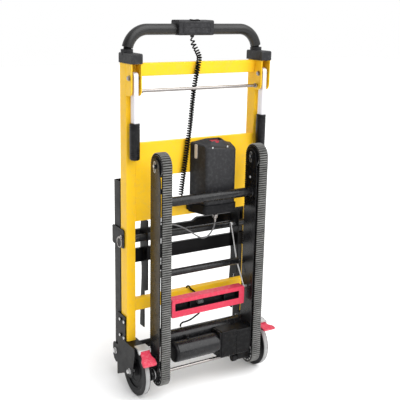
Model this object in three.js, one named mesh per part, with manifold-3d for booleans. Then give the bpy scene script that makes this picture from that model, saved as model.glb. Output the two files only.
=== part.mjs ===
// Electric stair climbing trolley, folded for storage, in millimetres with +Z up.
// X runs across the trolley, -Y is the side the operator stands on and +Y is the load side.
// The welded back frame carries two wheels, a crawler unit with two rubber tracks, a battery
// and a fold-down load platform.
import * as THREE from 'three';
import { mergeVertices } from 'three/addons/utils/BufferGeometryUtils.js';
import Module from 'manifold-3d';

const wasm = await Module();
wasm.setup();

// ---- driving dimensions --------------------------------------------------------------
const GAP = 0.4; // left between two pieces that touch
const SIDES = [['left', -1], ['right', 1]];

const RAIL_X = 250; // rail centre from the middle
const RAIL_WIDTH = 33;
const RAIL_DEPTH = 48; // the rails' rear face is the plane y = 0
const RAIL_BOTTOM = 188;
const RAIL_TOP = 1145;
const RAIL_WALL = 2.5;
const RAIL_IN = RAIL_X - RAIL_WIDTH / 2;
const RAIL_OUT = RAIL_X + RAIL_WIDTH / 2;
const SPAN = RAIL_IN - GAP; // half width of what is welded between the rails

const HANDLE_Y = 27;
const HANDLE_TOP = 1249;
const HANDLE_BEND = 72;
const HANDLE_RADIUS = 13;
const FOAM_RADIUS = 18;
const FOAM_BOTTOM = 1192.6;
const BOX_X = [-75, 57]; // control box on the handle's top bar
const BOX_Z = [1230, 1279];

const ARM_PIVOT = [-24, 1101]; // y, z of the swing arms' bolts
const ARM_X = 248;

const WHEEL = [-29, 90]; // y, z of the axle, and the wheel's radius is its height
const WHEEL_X = [235, 257];
const FORK_INNER = [224, 227.5];
const FORK_OUTER = [268.3, 271.8];
const BRAKE_PIVOT = [-86, 181];
const BRAKE_DOWN = 38; // degrees between a raised and a pressed brake pedal
const BRAKE_LENGTH = 56; // from the pivot to the raised pedal's tip, the rearmost point

const TRACK_Y = -94; // centre plane of both tracks
const TRACK_LOW = 94; // height of the drive shaft, where the crawler unit also pivots
const TRACK_HIGH = 825; // height of the idler axles
const TRACK_OUTER_RADIUS = 45;
const BELT_THICKNESS = 8;
const TRACK_INNER_PLATE = [165, 168.5];
const TRACK_OUTER_PLATE = [205.5, 209];
const SHAFT_RADIUS = 6;

const PEDAL_PIVOT = [-92, 350];
const SPREADER = [-42, 431];
const PLATFORM_PIVOT = [86, 120];
const PLATFORM_Y = [49.5, 98];
const PLATFORM_TOP = 750;
const PLATFORM_LUG_Y = 108;
const LATCH = [31, 563]; // y, z of the platform's lock pin

const BATTERY = { front: [-26, 139], rear: [-6, 119], y: [-72, -0.6], z: [636, 888] };

// The origin is on the floor, under the middle of the trolley's box.
const ORIGIN_SHIFT = (BRAKE_LENGTH - BRAKE_PIVOT[0] - PLATFORM_LUG_Y) / 2;

// ---- materials -------------------------------------------------------------------------
const finish = (color, roughness, metalness) => () =>
  new THREE.MeshStandardMaterial({ color, roughness, metalness });
const YELLOW = finish(0xf6c92e, 0.4, 0);
const BLACK_PAINT = finish(0x17181a, 0.25, 0);
const BLACK_PLASTIC = finish(0x2b2c2e, 0.55, 0);
const FOAM = finish(0x3a3b3d, 0.9, 0);
const RUBBER = finish(0x4a4a48, 0.85, 0);
const TREAD = finish(0xb9b9b5, 0.8, 0);
const ALUMINIUM = finish(0xd3d5d8, 0.35, 1);
const CHROME = finish(0xe8e8ea, 0.12, 1);
const ZINC = finish(0xb4b7ba, 0.4, 1);
const RED = finish(0xd9304f, 0.4, 0);
const CABLE = finish(0x1c1c1d, 0.6, 0);

// ---- shape helpers ---------------------------------------------------------------------
const solid = (geometry) => {
  const bare = geometry.clone();
  bare.deleteAttribute('normal');
  bare.deleteAttribute('uv');
  const merged = mergeVertices(bare, 1e-4);
  return new wasm.Manifold(new wasm.Mesh({
    numProp: 3,
    vertProperties: new Float32Array(merged.attributes.position.array),
    triVerts: new Uint32Array(merged.index.array),
  }));
};

const surface = (manifold) => {
  const mesh = manifold.getMesh();
  const geometry = new THREE.BufferGeometry();
  geometry.setAttribute('position', new THREE.BufferAttribute(mesh.vertProperties, 3));
  geometry.setIndex(new THREE.BufferAttribute(mesh.triVerts, 1));
  geometry.computeVertexNormals();
  return geometry;
};

const join = (...pieces) => surface(pieces.map(solid).reduce((all, piece) => all.add(piece)));
const cut = (body, ...tools) =>
  surface(tools.map(solid).reduce((left, tool) => left.subtract(tool), solid(body)));

const sorted = (a, b) => (a < b ? [a, b] : [b, a]);

const box = (x0, x1, y0, y1, z0, z1) => {
  const [xa, xb] = sorted(x0, x1);
  const geometry = new THREE.BoxGeometry(xb - xa, y1 - y0, z1 - z0);
  return geometry.translate((xa + xb) / 2, (y0 + y1) / 2, (z0 + z1) / 2);
};

const outline = (points) => new THREE.Shape(points.map(([u, v]) => new THREE.Vector2(u, v)));
const circle = (u, v, radius, count = 24) => {
  const turn = (i) => (i / count) * Math.PI * 2;
  const point = (angle) => [u + radius * Math.cos(angle), v + radius * Math.sin(angle)];
  return Array.from({ length: count }, (_, i) => point(turn(i)));
};
const arc = (u, v, radius, from, to, count = 8) =>
  Array.from({ length: count + 1 }, (_, i) => {
    const angle = THREE.MathUtils.degToRad(from + ((to - from) * i) / count);
    return [u + radius * Math.cos(angle), v + radius * Math.sin(angle)];
  });
const rounded = (u0, u1, v0, v1, radius, count = 4) => [
  ...arc(u1 - radius, v1 - radius, radius, 0, 90, count),
  ...arc(u0 + radius, v1 - radius, radius, 90, 180, count),
  ...arc(u0 + radius, v0 + radius, radius, 180, 270, count),
  ...arc(u1 - radius, v0 + radius, radius, 270, 360, count),
];

// A flat outline in y and z, as thick as the distance between x0 and x1.
const plateX = (points, x0, x1, holes = []) => {
  const [xa, xb] = sorted(x0, x1);
  const shape = outline(points);
  shape.holes = holes.map(outline);
  const geometry = new THREE.ExtrudeGeometry(shape, { depth: xb - xa, bevelEnabled: false });
  const axes = [new THREE.Vector3(0, 1, 0), new THREE.Vector3(0, 0, 1), new THREE.Vector3(1, 0, 0)];
  return geometry.applyMatrix4(new THREE.Matrix4().makeBasis(...axes)).translate(xa, 0, 0);
};

// A flat outline in x and z, between y0 and y1.
const plateY = (points, y0, y1, holes = []) => {
  const shape = outline(points);
  shape.holes = holes.map(outline);
  const geometry = new THREE.ExtrudeGeometry(shape, { depth: y1 - y0, bevelEnabled: false });
  return geometry.rotateX(Math.PI / 2).translate(0, y1, 0);
};

// A flat outline in x and y, between z0 and z1.
const plateZ = (points, z0, z1, holes = []) => {
  const shape = outline(points);
  shape.holes = holes.map(outline);
  return new THREE.ExtrudeGeometry(shape, { depth: z1 - z0, bevelEnabled: false }).translate(0, 0, z0);
};

const rodX = (x0, x1, [y, z], radius, count = 24) => plateX(circle(y, z, radius, count), x0, x1);

const rodBetween = (from, to, radius, count = 12) => {
  const start = new THREE.Vector3(...from);
  const end = new THREE.Vector3(...to);
  const geometry = new THREE.CylinderGeometry(radius, radius, start.distanceTo(end), count);
  const along = end.clone().sub(start).normalize();
  geometry.applyQuaternion(new THREE.Quaternion().setFromUnitVectors(new THREE.Vector3(0, 1, 0), along));
  return geometry.translate(...start.add(end).multiplyScalar(0.5).toArray());
};

const sweep = (curve, points, steps, holes = []) => {
  const shape = outline(points);
  shape.holes = holes.map(outline);
  return new THREE.ExtrudeGeometry(shape, { steps, bevelEnabled: false, extrudePath: curve });
};

// The handle's line: up one rail, round a bend, along the top, and down again. Where the foot
// is above the start of the bend, the line starts inside the bend.
const handlePath = (fromX, toX, foot) => {
  const path = new THREE.CurvePath();
  const corner = RAIL_X - HANDLE_BEND;
  const bendStart = HANDLE_TOP - HANDLE_BEND;
  const skipped = THREE.MathUtils.radToDeg(Math.asin(Math.max(0, foot - bendStart) / HANDLE_BEND));
  const at = (x, z) => new THREE.Vector3(x, HANDLE_Y, z);
  const run = (points) => points.slice(1).forEach((point, i) =>
    path.add(new THREE.LineCurve3(at(...points[i]), at(...point))));
  const points = [];
  if (fromX <= -RAIL_X) {
    if (foot < bendStart) points.push([-RAIL_X, foot]);
    points.push(...arc(-corner, bendStart, HANDLE_BEND, 180 - skipped, 90, 12));
  } else points.push([fromX, HANDLE_TOP]);
  if (toX >= RAIL_X) {
    points.push(...arc(corner, bendStart, HANDLE_BEND, 90, skipped, 12));
    if (foot < bendStart) points.push([RAIL_X, foot]);
  } else points.push([toX, HANDLE_TOP]);
  run(points);
  return path;
};

const lathe = (profile, count) => {
  const points = profile.map(([radius, along]) => new THREE.Vector2(radius, along));
  return new THREE.LatheGeometry(points, count).rotateZ(-Math.PI / 2);
};

const trolley = new THREE.Group();
const frameGroup = new THREE.Group();
frameGroup.position.y = ORIGIN_SHIFT;
trolley.add(frameGroup);

const add = (name, geometry, material, place = [0, 0, 0], parent = frameGroup) => {
  const mesh = new THREE.Mesh(geometry, material());
  mesh.name = name;
  mesh.position.set(...place);
  parent.add(mesh);
  return mesh;
};

// ---- back frame --------------------------------------------------------------------------
const rail = (side) => {
  const [x0, x1] = sorted(side * RAIL_IN, side * RAIL_OUT);
  const hollow = [
    [x0 + RAIL_WALL, RAIL_WALL], [x1 - RAIL_WALL, RAIL_WALL],
    [x1 - RAIL_WALL, RAIL_DEPTH - RAIL_WALL], [x0 + RAIL_WALL, RAIL_DEPTH - RAIL_WALL],
  ];
  return plateZ(rounded(x0, x1, 0, RAIL_DEPTH, 3, 2), RAIL_BOTTOM, RAIL_TOP, [hollow]);
};
for (const [name, side] of SIDES) add(`rail_${name}`, rail(side), YELLOW);

const hollowBar = (y0, y1, z0, z1, wall = 2) => {
  const hollow = rounded(y0 + wall, y1 - wall, z0 + wall, z1 - wall, 1, 1);
  return plateX(rounded(y0, y1, z0, z1, 2.5, 2), -SPAN, SPAN, [hollow]);
};
add('top_crossbar', hollowBar(1, 26, 1103, 1144.5), YELLOW);
add('lower_crossbar', hollowBar(2, 27, 297, 340), YELLOW);

const PANEL_Z = [620, 886];
const PANEL_Y = [1, 4];
const WINDOW_X = 130;
const WINDOW_Z = [656, 770];
const FLANGE_DEPTH = 18;
const backPanel = () => {
  const sheet = plateY(rounded(-SPAN, SPAN, ...PANEL_Z, 1, 1), ...PANEL_Y,
    [rounded(-WINDOW_X, WINDOW_X, ...WINDOW_Z, 12)]);
  const topFlange = box(-SPAN, SPAN, PANEL_Y[0], FLANGE_DEPTH, PANEL_Z[1] - 3, PANEL_Z[1]);
  const lowFlange = box(-SPAN, SPAN, PANEL_Y[0], FLANGE_DEPTH, PANEL_Z[0], PANEL_Z[0] + 3);
  return join(sheet, topFlange, lowFlange);
};
add('back_panel', backPanel(), YELLOW);

const TIE_TUBE = [20, 553];
add('tie_tube', plateX(circle(...TIE_TUBE, 12.5), -SPAN, SPAN, [circle(...TIE_TUBE, 10.5)]), BLACK_PAINT);

const GUIDE_X = [184, 188];
const guideFrame = () => {
  const bar = plateX(rounded(30, 48, 463, 511, 2, 1), -SPAN, SPAN);
  const hollow = plateX(rounded(32, 46, 465, 509, 1, 1), -SPAN - 1, SPAN + 1);
  const cheek = [
    [2, 616], [2, 364], [28, 352], [28, 215], [60, 215], [55, 312], [48, 400], [48, 440],
    [58, 508], [60, 560], [54, 600], [40, 616],
  ].reverse();
  const tube = [circle(...TIE_TUBE, 13)];
  const cheeks = SIDES.map(([, side]) => plateX(cheek, side * GUIDE_X[0], side * GUIDE_X[1], tube));
  return cut(join(bar, ...cheeks), hollow);
};
add('guide_frame', guideFrame(), BLACK_PAINT);

// ---- push handle -------------------------------------------------------------------------
const ring = (radius, count) => circle(0, 0, radius, count);
const HANDLE_BOTTOM = 1060; // inside the rails
const handleLine = handlePath(-RAIL_X, RAIL_X, HANDLE_BOTTOM);
const handleBore = [ring(HANDLE_RADIUS - 2.5, 8)];
add('handle_tube', sweep(handleLine, ring(HANDLE_RADIUS, 12), 36, handleBore), BLACK_PAINT);
const foamBore = [ring(HANDLE_RADIUS + 1.6, 10)];
const foamLeft = handlePath(-RAIL_X, BOX_X[0] - GAP, FOAM_BOTTOM);
const foamRight = handlePath(BOX_X[1] + GAP, RAIL_X, FOAM_BOTTOM);
add('foam_grip_left', sweep(foamLeft, ring(FOAM_RADIUS, 14), 15, foamBore), FOAM);
add('foam_grip_right', sweep(foamRight, ring(FOAM_RADIUS, 14), 17, foamBore), FOAM);

const COLLAR_RADIUS = 20;
const COLLAR_TOP = 1187.6;
const handleCap = (side) => {
  const profile = [
    [-42, 1145.4], [51, 1145.4], [51, 1173], [47, 1177], [-38, 1177], [-42, 1173],
  ];
  const collar = plateZ(circle(side * RAIL_X, HANDLE_Y, COLLAR_RADIUS, 32), 1170, COLLAR_TOP);
  const block = join(plateX(profile, side * 228, side * 268), collar);
  const bore = plateZ(circle(side * RAIL_X, HANDLE_Y, HANDLE_RADIUS + 2, 20), 1100, 1200);
  return cut(block, bore);
};
for (const [name, side] of SIDES) add(`handle_cap_${name}`, handleCap(side), BLACK_PLASTIC);

const CORD_EXIT_X = -10;
const GLAND_Z = 1222;
const ROCKER = { x: -14, y: 8, z: 1279, length: 28, width: 16 };
const controlBox = () => {
  const body = plateX(rounded(-2, 54, ...BOX_Z, 7), ...BOX_X);
  const bore = rodX(BOX_X[0] - 5, BOX_X[1] + 5, [HANDLE_Y, HANDLE_TOP], HANDLE_RADIUS + GAP, 20);
  const pocket = box(ROCKER.x - ROCKER.length / 2 - 1, ROCKER.x + ROCKER.length / 2 + 1,
    ROCKER.y - ROCKER.width / 2 - 0.6, ROCKER.y + ROCKER.width / 2 + 0.6, ROCKER.z - 8, ROCKER.z + 5);
  const gland = plateZ(circle(CORD_EXIT_X, HANDLE_Y, 7, 16), GLAND_Z, BOX_Z[0] + 6);
  return cut(join(body, gland), bore, pocket);
};
add('control_box', controlBox(), BLACK_PLASTIC);

const rocker = () => {
  const half = ROCKER.length / 2;
  const profile = [[-half, -2], [0, -5], [half, -2], [half, 3], [0, 1], [-half, 3]];
  return plateY(profile, -ROCKER.width / 2, ROCKER.width / 2);
};
add('rocker_switch', rocker(), RED, [ROCKER.x, ROCKER.y, ROCKER.z]);

// ---- swing arms under the handle -------------------------------------------------------------
const CLEVIS_X = [230, 266.5];
const CLEVIS_WALL = 3;
const clevis = (side) => {
  const cheek = [
    [-GAP, 1043], [-GAP, 1145], [-40, 1145], [-40, 1063], ...arc(-20, 1063, 20, 180, 270, 5),
  ].reverse();
  const bolt = [circle(...ARM_PIVOT, 5.4, 16)];
  const [inner, outer] = CLEVIS_X;
  return join(
    plateX(cheek, side * inner, side * (inner + CLEVIS_WALL), bolt),
    plateX(cheek, side * (outer - CLEVIS_WALL), side * outer, bolt),
    box(side * inner, side * outer, -CLEVIS_WALL - GAP, -GAP, 1043, 1145),
  );
};
const swingArm = (side) => {
  const half = 8;
  const [y] = ARM_PIVOT;
  const profile = [...arc(y, 1107, 12.5, 0, 180, 8), [y - 12.5, 840], [y + 12.5, 840]];
  const bolt = [circle(...ARM_PIVOT, 5.4, 16)];
  return plateX(profile, side * (ARM_X - half), side * (ARM_X + half), bolt);
};
const armGrip = (side) => {
  const sleeve = plateZ(circle(side * ARM_X, ARM_PIVOT[0], 17, 24), 836, 957);
  const [y] = ARM_PIVOT;
  const core = box(side * (ARM_X - 8.4), side * (ARM_X + 8.4), y - 12.9, y + 12.9, 839.6, 960);
  return cut(sleeve, core);
};
const armBolt = (side) => {
  const [inner, outer] = CLEVIS_X;
  return join(
    rodX(side * (inner - 6), side * (outer + 6), ARM_PIVOT, 5, 16),
    rodX(side * (outer + GAP), side * (outer + 7), ARM_PIVOT, 9, 6),
    rodX(side * (inner - 6), side * (inner - GAP), ARM_PIVOT, 9, 6),
  );
};
for (const [name, side] of SIDES) {
  add(`arm_bracket_${name}`, clevis(side), YELLOW);
  add(`swing_arm_${name}`, swingArm(side), ALUMINIUM);
  add(`arm_grip_${name}`, armGrip(side), RUBBER);
  add(`arm_bolt_${name}`, armBolt(side), ZINC);
}
const CROSS_ROD = [-19, 1059];
add('cross_rod', rodX(-(CLEVIS_X[0] - GAP), CLEVIS_X[0] - GAP, CROSS_ROD, 5.5, 20), CHROME);

// ---- battery -------------------------------------------------------------------------------
const batteryOutline = (grow) => {
  const { front, rear, y } = BATTERY;
  return [
    [front[0] - grow, y[1]], [front[1] + grow, y[1]],
    ...arc(rear[1] + grow - 14, y[0] - grow + 14, 14, 0, -90, 4),
    ...arc(rear[0] - grow + 14, y[0] - grow + 14, 14, 270, 180, 4),
  ].reverse();
};
const BUTTON = { x: 46, y: -38, radius: 19 };
const RECESS_RADIUS = 28;
const RECESS_DEPTH = 18;
const HOLDER_Z = [631, 662];
const OUTLET = [56, -40]; // x, y of the battery cable's connector
const OUTLET_Z = 606;
const CORD_SOCKET = { x: -66, y: -10.5, top: 686 };
const batteryCase = () => {
  const [low, high] = BATTERY.z;
  const body = plateZ(batteryOutline(0), low, high);
  const aboveRear = [
    [-90, high + 30], [-36, high + 30], [-36, high + 1], [-42, high - 1], [-56, high - 6], [-66, high - 15],
    [-72, high - 28], [-90, high - 36],
  ];
  const aboveLeft = [
    [-60, high + 30], [0, high + 30], [0, high + 1], [-14, high - 3], [-26, high - 11], [-60, high - 20],
  ];
  const aboveRight = [
    [180, high + 30], [70, high + 30], [70, high + 1], [100, high - 6], [118, high - 14],
    [131, high - 25], [139, high - 40], [180, high - 60],
  ];
  const roof = [
    plateX(aboveRear.reverse(), -60, 180),
    plateY(aboveLeft, -90, 10),
    plateY(aboveRight, -90, 10),
  ];
  const recess = plateZ(circle(BUTTON.x, BUTTON.y, RECESS_RADIUS, 28), high - RECESS_DEPTH, high + 20);
  return cut(body, ...roof, recess);
};
add('battery_case', batteryCase(), BLACK_PLASTIC);

const BUTTON_HEIGHT = 8;
const BUTTON_TRAVEL = 3;
const button = plateZ(circle(0, 0, BUTTON.radius, 20), 0, BUTTON_HEIGHT);
const buttonFoot = BATTERY.z[1] - RECESS_DEPTH + BUTTON_TRAVEL + GAP;
add('battery_button', button, RED, [BUTTON.x, BUTTON.y, buttonFoot]);

const batteryHolder = () => {
  const outer = plateZ(batteryOutline(4), ...HOLDER_Z);
  const inside = plateZ(batteryOutline(0.8), HOLDER_Z[0] + 3, HOLDER_Z[1] + 10);
  const outlet = plateZ(circle(...OUTLET, 8, 16), OUTLET_Z, HOLDER_Z[0] + 2);
  const arm = box(-38, -27.4, -12, -0.6, 640, CORD_SOCKET.top - 4);
  const socket = box(-84, -30, -20, -0.6, CORD_SOCKET.top - 24, CORD_SOCKET.top);
  return cut(join(outer, outlet, arm, socket), inside);
};
add('battery_holder', batteryHolder(), BLACK_PLASTIC);

// ---- wheels and their forks -----------------------------------------------------------------
const fork = (side) => {
  const [py, pz] = PLATFORM_PIVOT;
  const outerCheek = [
    [66, 279], [6, 279], [6, 188], [-66, 188], [-68, 165], [-56, 118], ...arc(...WHEEL, 24, 165, 290, 6),
    [20, 62], [68, 36], [73, 36], [73, 80], [86, 77], [100, 85], [PLATFORM_LUG_Y, 100],
    [PLATFORM_LUG_Y, 140], [102, 149], [66, 151],
  ];
  const innerCheek = [
    [48, 187.5], [-66, 187.5], [-72, 160], ...arc(TRACK_Y, TRACK_LOW, 20, 115, 290, 7),
    [-29, 68], [20, 62], [48, 110],
  ];
  const axle = circle(...WHEEL, SHAFT_RADIUS + GAP, 20);
  const hinge = circle(py, pz, 5.4, 16);
  const bolts = [[42, 260], [10, 260], [42, 200], [10, 200]].map(([y, z]) =>
    rodX(side * (FORK_OUTER[1] - 1), side * (FORK_OUTER[1] + 4), [y, z], 6, 6));
  return join(
    plateX(outerCheek, side * FORK_OUTER[0], side * FORK_OUTER[1], [axle, hinge]),
    plateX(innerCheek, side * FORK_INNER[0], side * FORK_INNER[1], [axle]),
    box(side * FORK_INNER[0], side * FORK_OUTER[1], -66, 48, 184, 187.5),
    rodX(side * 213, side * FORK_INNER[1], [TRACK_Y, TRACK_LOW], 7, 20),
    ...bolts,
  );
};
const tyre = () => {
  const half = (WHEEL_X[1] - WHEEL_X[0]) / 2;
  const radius = WHEEL[1];
  return lathe([
    [72, -half + 1], [83, -half], [88.5, -half + 3], [radius, -half + 8], [radius, half - 8],
    [88.5, half - 3], [83, half], [72, half - 1], [72, -half + 1],
  ], 30);
};
const hub = () => {
  const half = (WHEEL_X[1] - WHEEL_X[0]) / 2;
  const bore = SHAFT_RADIUS + GAP;
  return lathe([
    [bore, -half], [20, -half], [24, -half + 5], [58, -half + 6], [64, -half + 1.5],
    [71.6, -half + 1.5],
    [71.6, half - 1.5], [64, half - 1.5], [58, half - 6], [24, half - 5], [20, half], [bore, half],
    [bore, -half],
  ], 30);
};
const axle = (side) => join(
  rodX(side * 220, side * 282, WHEEL, SHAFT_RADIUS, 20),
  rodX(side * 219, side * (FORK_INNER[0] - GAP), WHEEL, 10, 6),
  rodX(side * (FORK_OUTER[1] + GAP), side * 279, WHEEL, 10.5, 6),
);
for (const [name, side] of SIDES) {
  const centre = [side * (WHEEL_X[0] + WHEEL_X[1]) / 2, ...WHEEL];
  add(`fork_${name}`, fork(side), BLACK_PAINT);
  add(`tyre_${name}`, tyre(), TREAD, centre);
  add(`wheel_hub_${name}`, hub(), BLACK_PLASTIC, centre);
  add(`axle_${name}`, axle(side), ZINC);
}

// ---- wheel brakes ----------------------------------------------------------------------------
const BRAKE_X = [222, 264];
const brakePlate = (side) => {
  const [y, z] = BRAKE_PIVOT;
  const ear = [
    [-66, 188], [-66, 192], [y - 6, 192], ...arc(y, z, 7, 150, 270, 4), [y + 6, z - 4], [-67, 188],
  ].reverse();
  const pin = [circle(y, z, 3.4, 12)];
  return join(
    box(side * BRAKE_X[0], side * BRAKE_X[1], y - 6, -48, 188, 191.5),
    plateX(ear, side * BRAKE_X[0], side * (BRAKE_X[0] + 3), pin),
    plateX(ear, side * (BRAKE_X[1] - 3), side * BRAKE_X[1], pin),
  );
};
const brakePedal = (side) => {
  const near = BRAKE_X[0] + 3 + GAP;
  const far = BRAKE_X[1] - 3 - GAP;
  const wide = [near - 8, far + 8];
  const paddle = [
    [near, 0], [near, -20], [wide[0], -34], [wide[0], -50], [wide[0] + 6, -BRAKE_LENGTH],
    [wide[1] - 6, -BRAKE_LENGTH], [wide[1], -50], [wide[1], -34], [far, -20], [far, 0],
  ];
  const flat = plateZ(paddle.map(([x, y]) => [side * x, y]), -3.5, 3.5);
  const pin = rodX(side * (BRAKE_X[0] + 0.2), side * (BRAKE_X[1] - 0.2), [0, 0], 3, 12);
  const barrel = rodX(side * near, side * far, [0, 0], 5.5, 16);
  return join(flat, barrel, pin);
};
for (const [name, side] of SIDES) {
  add(`brake_plate_${name}`, brakePlate(side), ZINC);
  const pedal = add(`brake_pedal_${name}`, brakePedal(side), RED, [0, ...BRAKE_PIVOT]);
  pedal.rotation.x = THREE.MathUtils.degToRad(side < 0 ? BRAKE_DOWN : 0);
}

// ---- crawler unit ------------------------------------------------------------------------------
const stadium = (radius, count = 9) => [
  ...arc(TRACK_Y, TRACK_HIGH, radius, 0, 180, count),
  ...arc(TRACK_Y, TRACK_LOW, radius, 180, 360, count),
];
const PLATE_RADIUS = 34;
const IDLER_RADIUS = TRACK_OUTER_RADIUS - BELT_THICKNESS - 0.5;
const trackFrame = (side) => {
  const low = [TRACK_Y, TRACK_LOW];
  const high = [TRACK_Y, TRACK_HIGH];
  const inner = TRACK_INNER_PLATE;
  const outer = TRACK_OUTER_PLATE;
  const spacers = [250, 480, 740].map((z) =>
    rodX(side * (inner[1] - 1), side * (outer[0] + 1), [TRACK_Y, z], 9, 12));
  return join(
    plateX(stadium(PLATE_RADIUS), side * inner[0], side * inner[1], [circle(...low, 16, 20)]),
    plateX(stadium(PLATE_RADIUS), side * outer[0], side * outer[1], [circle(...low, 7.5, 20)]),
    plateX(circle(...low, 19), side * (outer[1] - 1), side * 221, [circle(...low, 7.5, 20)]),
    rodX(side * (inner[0] - 5), side * (outer[1] + 5), high, 7, 16),
    ...spacers,
  );
};
const belt = (side) => {
  const inside = stadium(TRACK_OUTER_RADIUS - BELT_THICKNESS, 14);
  return plateX(stadium(TRACK_OUTER_RADIUS, 14), side * 169.5, side * 204.5, [inside]);
};
const TEETH = 14;
const sprocket = (side) => {
  const profile = [];
  for (let tooth = 0; tooth < TEETH; tooth += 1) {
    const at = (360 / TEETH) * tooth;
    profile.push(...arc(0, 0, IDLER_RADIUS, at - 6, at + 6, 1));
    profile.push(...arc(0, 0, IDLER_RADIUS - 5, at + 10, at + 16, 1));
  }
  return plateX(profile, side * 170, side * 204, [circle(0, 0, SHAFT_RADIUS + GAP, 20)]);
};
const idler = (side) =>
  plateX(circle(0, 0, IDLER_RADIUS, 32), side * 170, side * 204, [circle(0, 0, 7 + GAP, 20)]);
for (const [name, side] of SIDES) {
  add(`track_frame_${name}`, trackFrame(side), BLACK_PAINT);
  add(`track_belt_${name}`, belt(side), RUBBER);
  add(`drive_sprocket_${name}`, sprocket(side), BLACK_PLASTIC, [0, TRACK_Y, TRACK_LOW]);
  add(`idler_${name}`, idler(side), BLACK_PLASTIC, [0, TRACK_Y, TRACK_HIGH]);
}
add('drive_shaft', rodX(-205, 205, [TRACK_Y, TRACK_LOW], SHAFT_RADIUS, 20), CHROME);

const BETWEEN_TRACKS = TRACK_INNER_PLATE[0] - GAP;
const UPPER_TUBE = [TRACK_Y, 701];
const LOWER_TUBE = [-46, 194];
const tubeX = (centre, radius, wall) => {
  const hollow = circle(...centre, radius - wall, 20);
  return plateX(circle(...centre, radius, 28), -BETWEEN_TRACKS, BETWEEN_TRACKS, [hollow]);
};
add('upper_cross_tube', tubeX(UPPER_TUBE, 16, 2.5), BLACK_PAINT);
add('lower_cross_tube', tubeX(LOWER_TUBE, 24, 3), BLACK_PAINT);

const MOTOR = [-98, 160];
const GEARBOX_X = [34, BETWEEN_TRACKS];
const gearmotor = () => join(
  rodX(-132, GEARBOX_X[0] - GAP, MOTOR, 36, 32),
  rodX(-142, -131, MOTOR, 26, 24),
);
add('gearmotor', gearmotor(), BLACK_PAINT);
const gearbox = () => {
  const shaft = [TRACK_Y, TRACK_LOW];
  const body = plateX(rounded(-130, -72, 107, 208, 4, 2), ...GEARBOX_X);
  const chainCase = plateX(rounded(-114, -74, 74, 112, 6, 3), 122, GEARBOX_X[1]);
  const boss = rodX(108, 123, [-100, 82], 14, 24);
  const bore = rodX(100, 170, shaft, SHAFT_RADIUS + GAP, 20);
  return cut(join(body, chainCase, boss), bore);
};
add('gearbox', gearbox(), BLACK_PAINT);

// ---- foot release for the crawler unit --------------------------------------------------------
const PEDAL_HALF = 148;
const releasePedal = () => {
  const [y, z] = PEDAL_PIVOT;
  const [rear, front] = [y - 12, y + 22];
  const face = (inset, radius) =>
    rounded(-PEDAL_HALF + inset, PEDAL_HALF - inset, z - 60 + inset, z + 6 - inset, radius, 2);
  const window = (grow) =>
    rounded(-PEDAL_HALF + 13 - grow, PEDAL_HALF - 22 + grow, z - 37 - grow, z - 9 + grow, 2, 1);
  return join(
    plateY(face(0, 4), rear, rear + 3, [window(0)]),
    plateY(face(0, 4), rear, front, [face(3, 2)]),
    plateY(window(3), rear, front - 8, [window(0)]),
    plateY(window(3), front - 11, front - 8),
  );
};
add('release_pedal', releasePedal(), RED);
const latchLinkage = () => {
  const reach = 153;
  const top = [3, 559];
  const rods = SIDES.flatMap(([, side]) => [
    rodBetween([side * reach, ...PEDAL_PIVOT], [side * reach, ...SPREADER], 2.8),
    rodBetween([side * reach, ...SPREADER], [side * reach, ...top], 2.8),
    rodX(side * (PEDAL_HALF + GAP), side * BETWEEN_TRACKS, PEDAL_PIVOT, 5, 16),
  ]);
  const tube = rodX(-reach - 5, reach + 5, SPREADER, 12.5, 24);
  return join(tube, ...rods);
};
add('latch_linkage', latchLinkage(), BLACK_PAINT);

// ---- load platform, folded up in front of the rails ---------------------------------------------
const platformFrame = () => {
  const [py, pz] = PLATFORM_PIVOT;
  const [rear, front] = PLATFORM_Y;
  const wall = 2.5;
  const arms = SIDES.map(([, side]) =>
    plateZ(rounded(...sorted(side * 234, side * 267), rear, front, 3, 2), 141, PLATFORM_TOP));
  const armHollow = [rear + wall, front - wall, 141 + wall, PLATFORM_TOP + 5];
  const armHollows = SIDES.map(([, side]) =>
    box(side * (234 + wall), side * (267 - wall), ...armHollow));
  const midHollow = box(-245, 245, 84 + wall, front - wall, 536 + wall, 562 - wall);
  const tabs = SIDES.map(([, side]) => plateX(
    [[98, 150], [60, 150], ...arc(py, pz, 17, 200, 360, 8)].reverse(), side * 261.5, side * 266.5,
    [circle(py, pz, 5.4, 16)]));
  const hingeTube = rodX(-262, 262, PLATFORM_PIVOT, 15, 24);
  const midOutline = [[-235, 536], [235, 536], [235, 574], [60, 574], [40, 562], [-235, 562]];
  const midBar = plateY(midOutline, 84, front);
  const pinHole = circle(...LATCH, 4.4, 16);
  const latchPlate = plateX(rounded(14, 106, 524, 590, 8, 3), -268.2, -271.2, [pinHole]);
  const latchWrap = box(-271.2, -250, front - 1, 106, 530, 584);
  const bridge = box(-269, -266, 60, front - 2, 532, 582);
  const whole = join(...arms, ...tabs, hingeTube, midBar, latchPlate, latchWrap, bridge);
  const tubeHollow = rodX(-262, 262, PLATFORM_PIVOT, 12.5, 20);
  return cut(whole, ...armHollows, midHollow, tubeHollow);
};
add('platform_frame', platformFrame(), BLACK_PAINT);
const platformBolt = (side) => join(
  rodX(side * 259, side * 280, PLATFORM_PIVOT, 5, 16),
  rodX(side * (FORK_OUTER[1] + GAP), side * 280, PLATFORM_PIVOT, 9.5, 6),
);
for (const [name, side] of SIDES) add(`platform_bolt_${name}`, platformBolt(side), ZINC);

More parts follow.
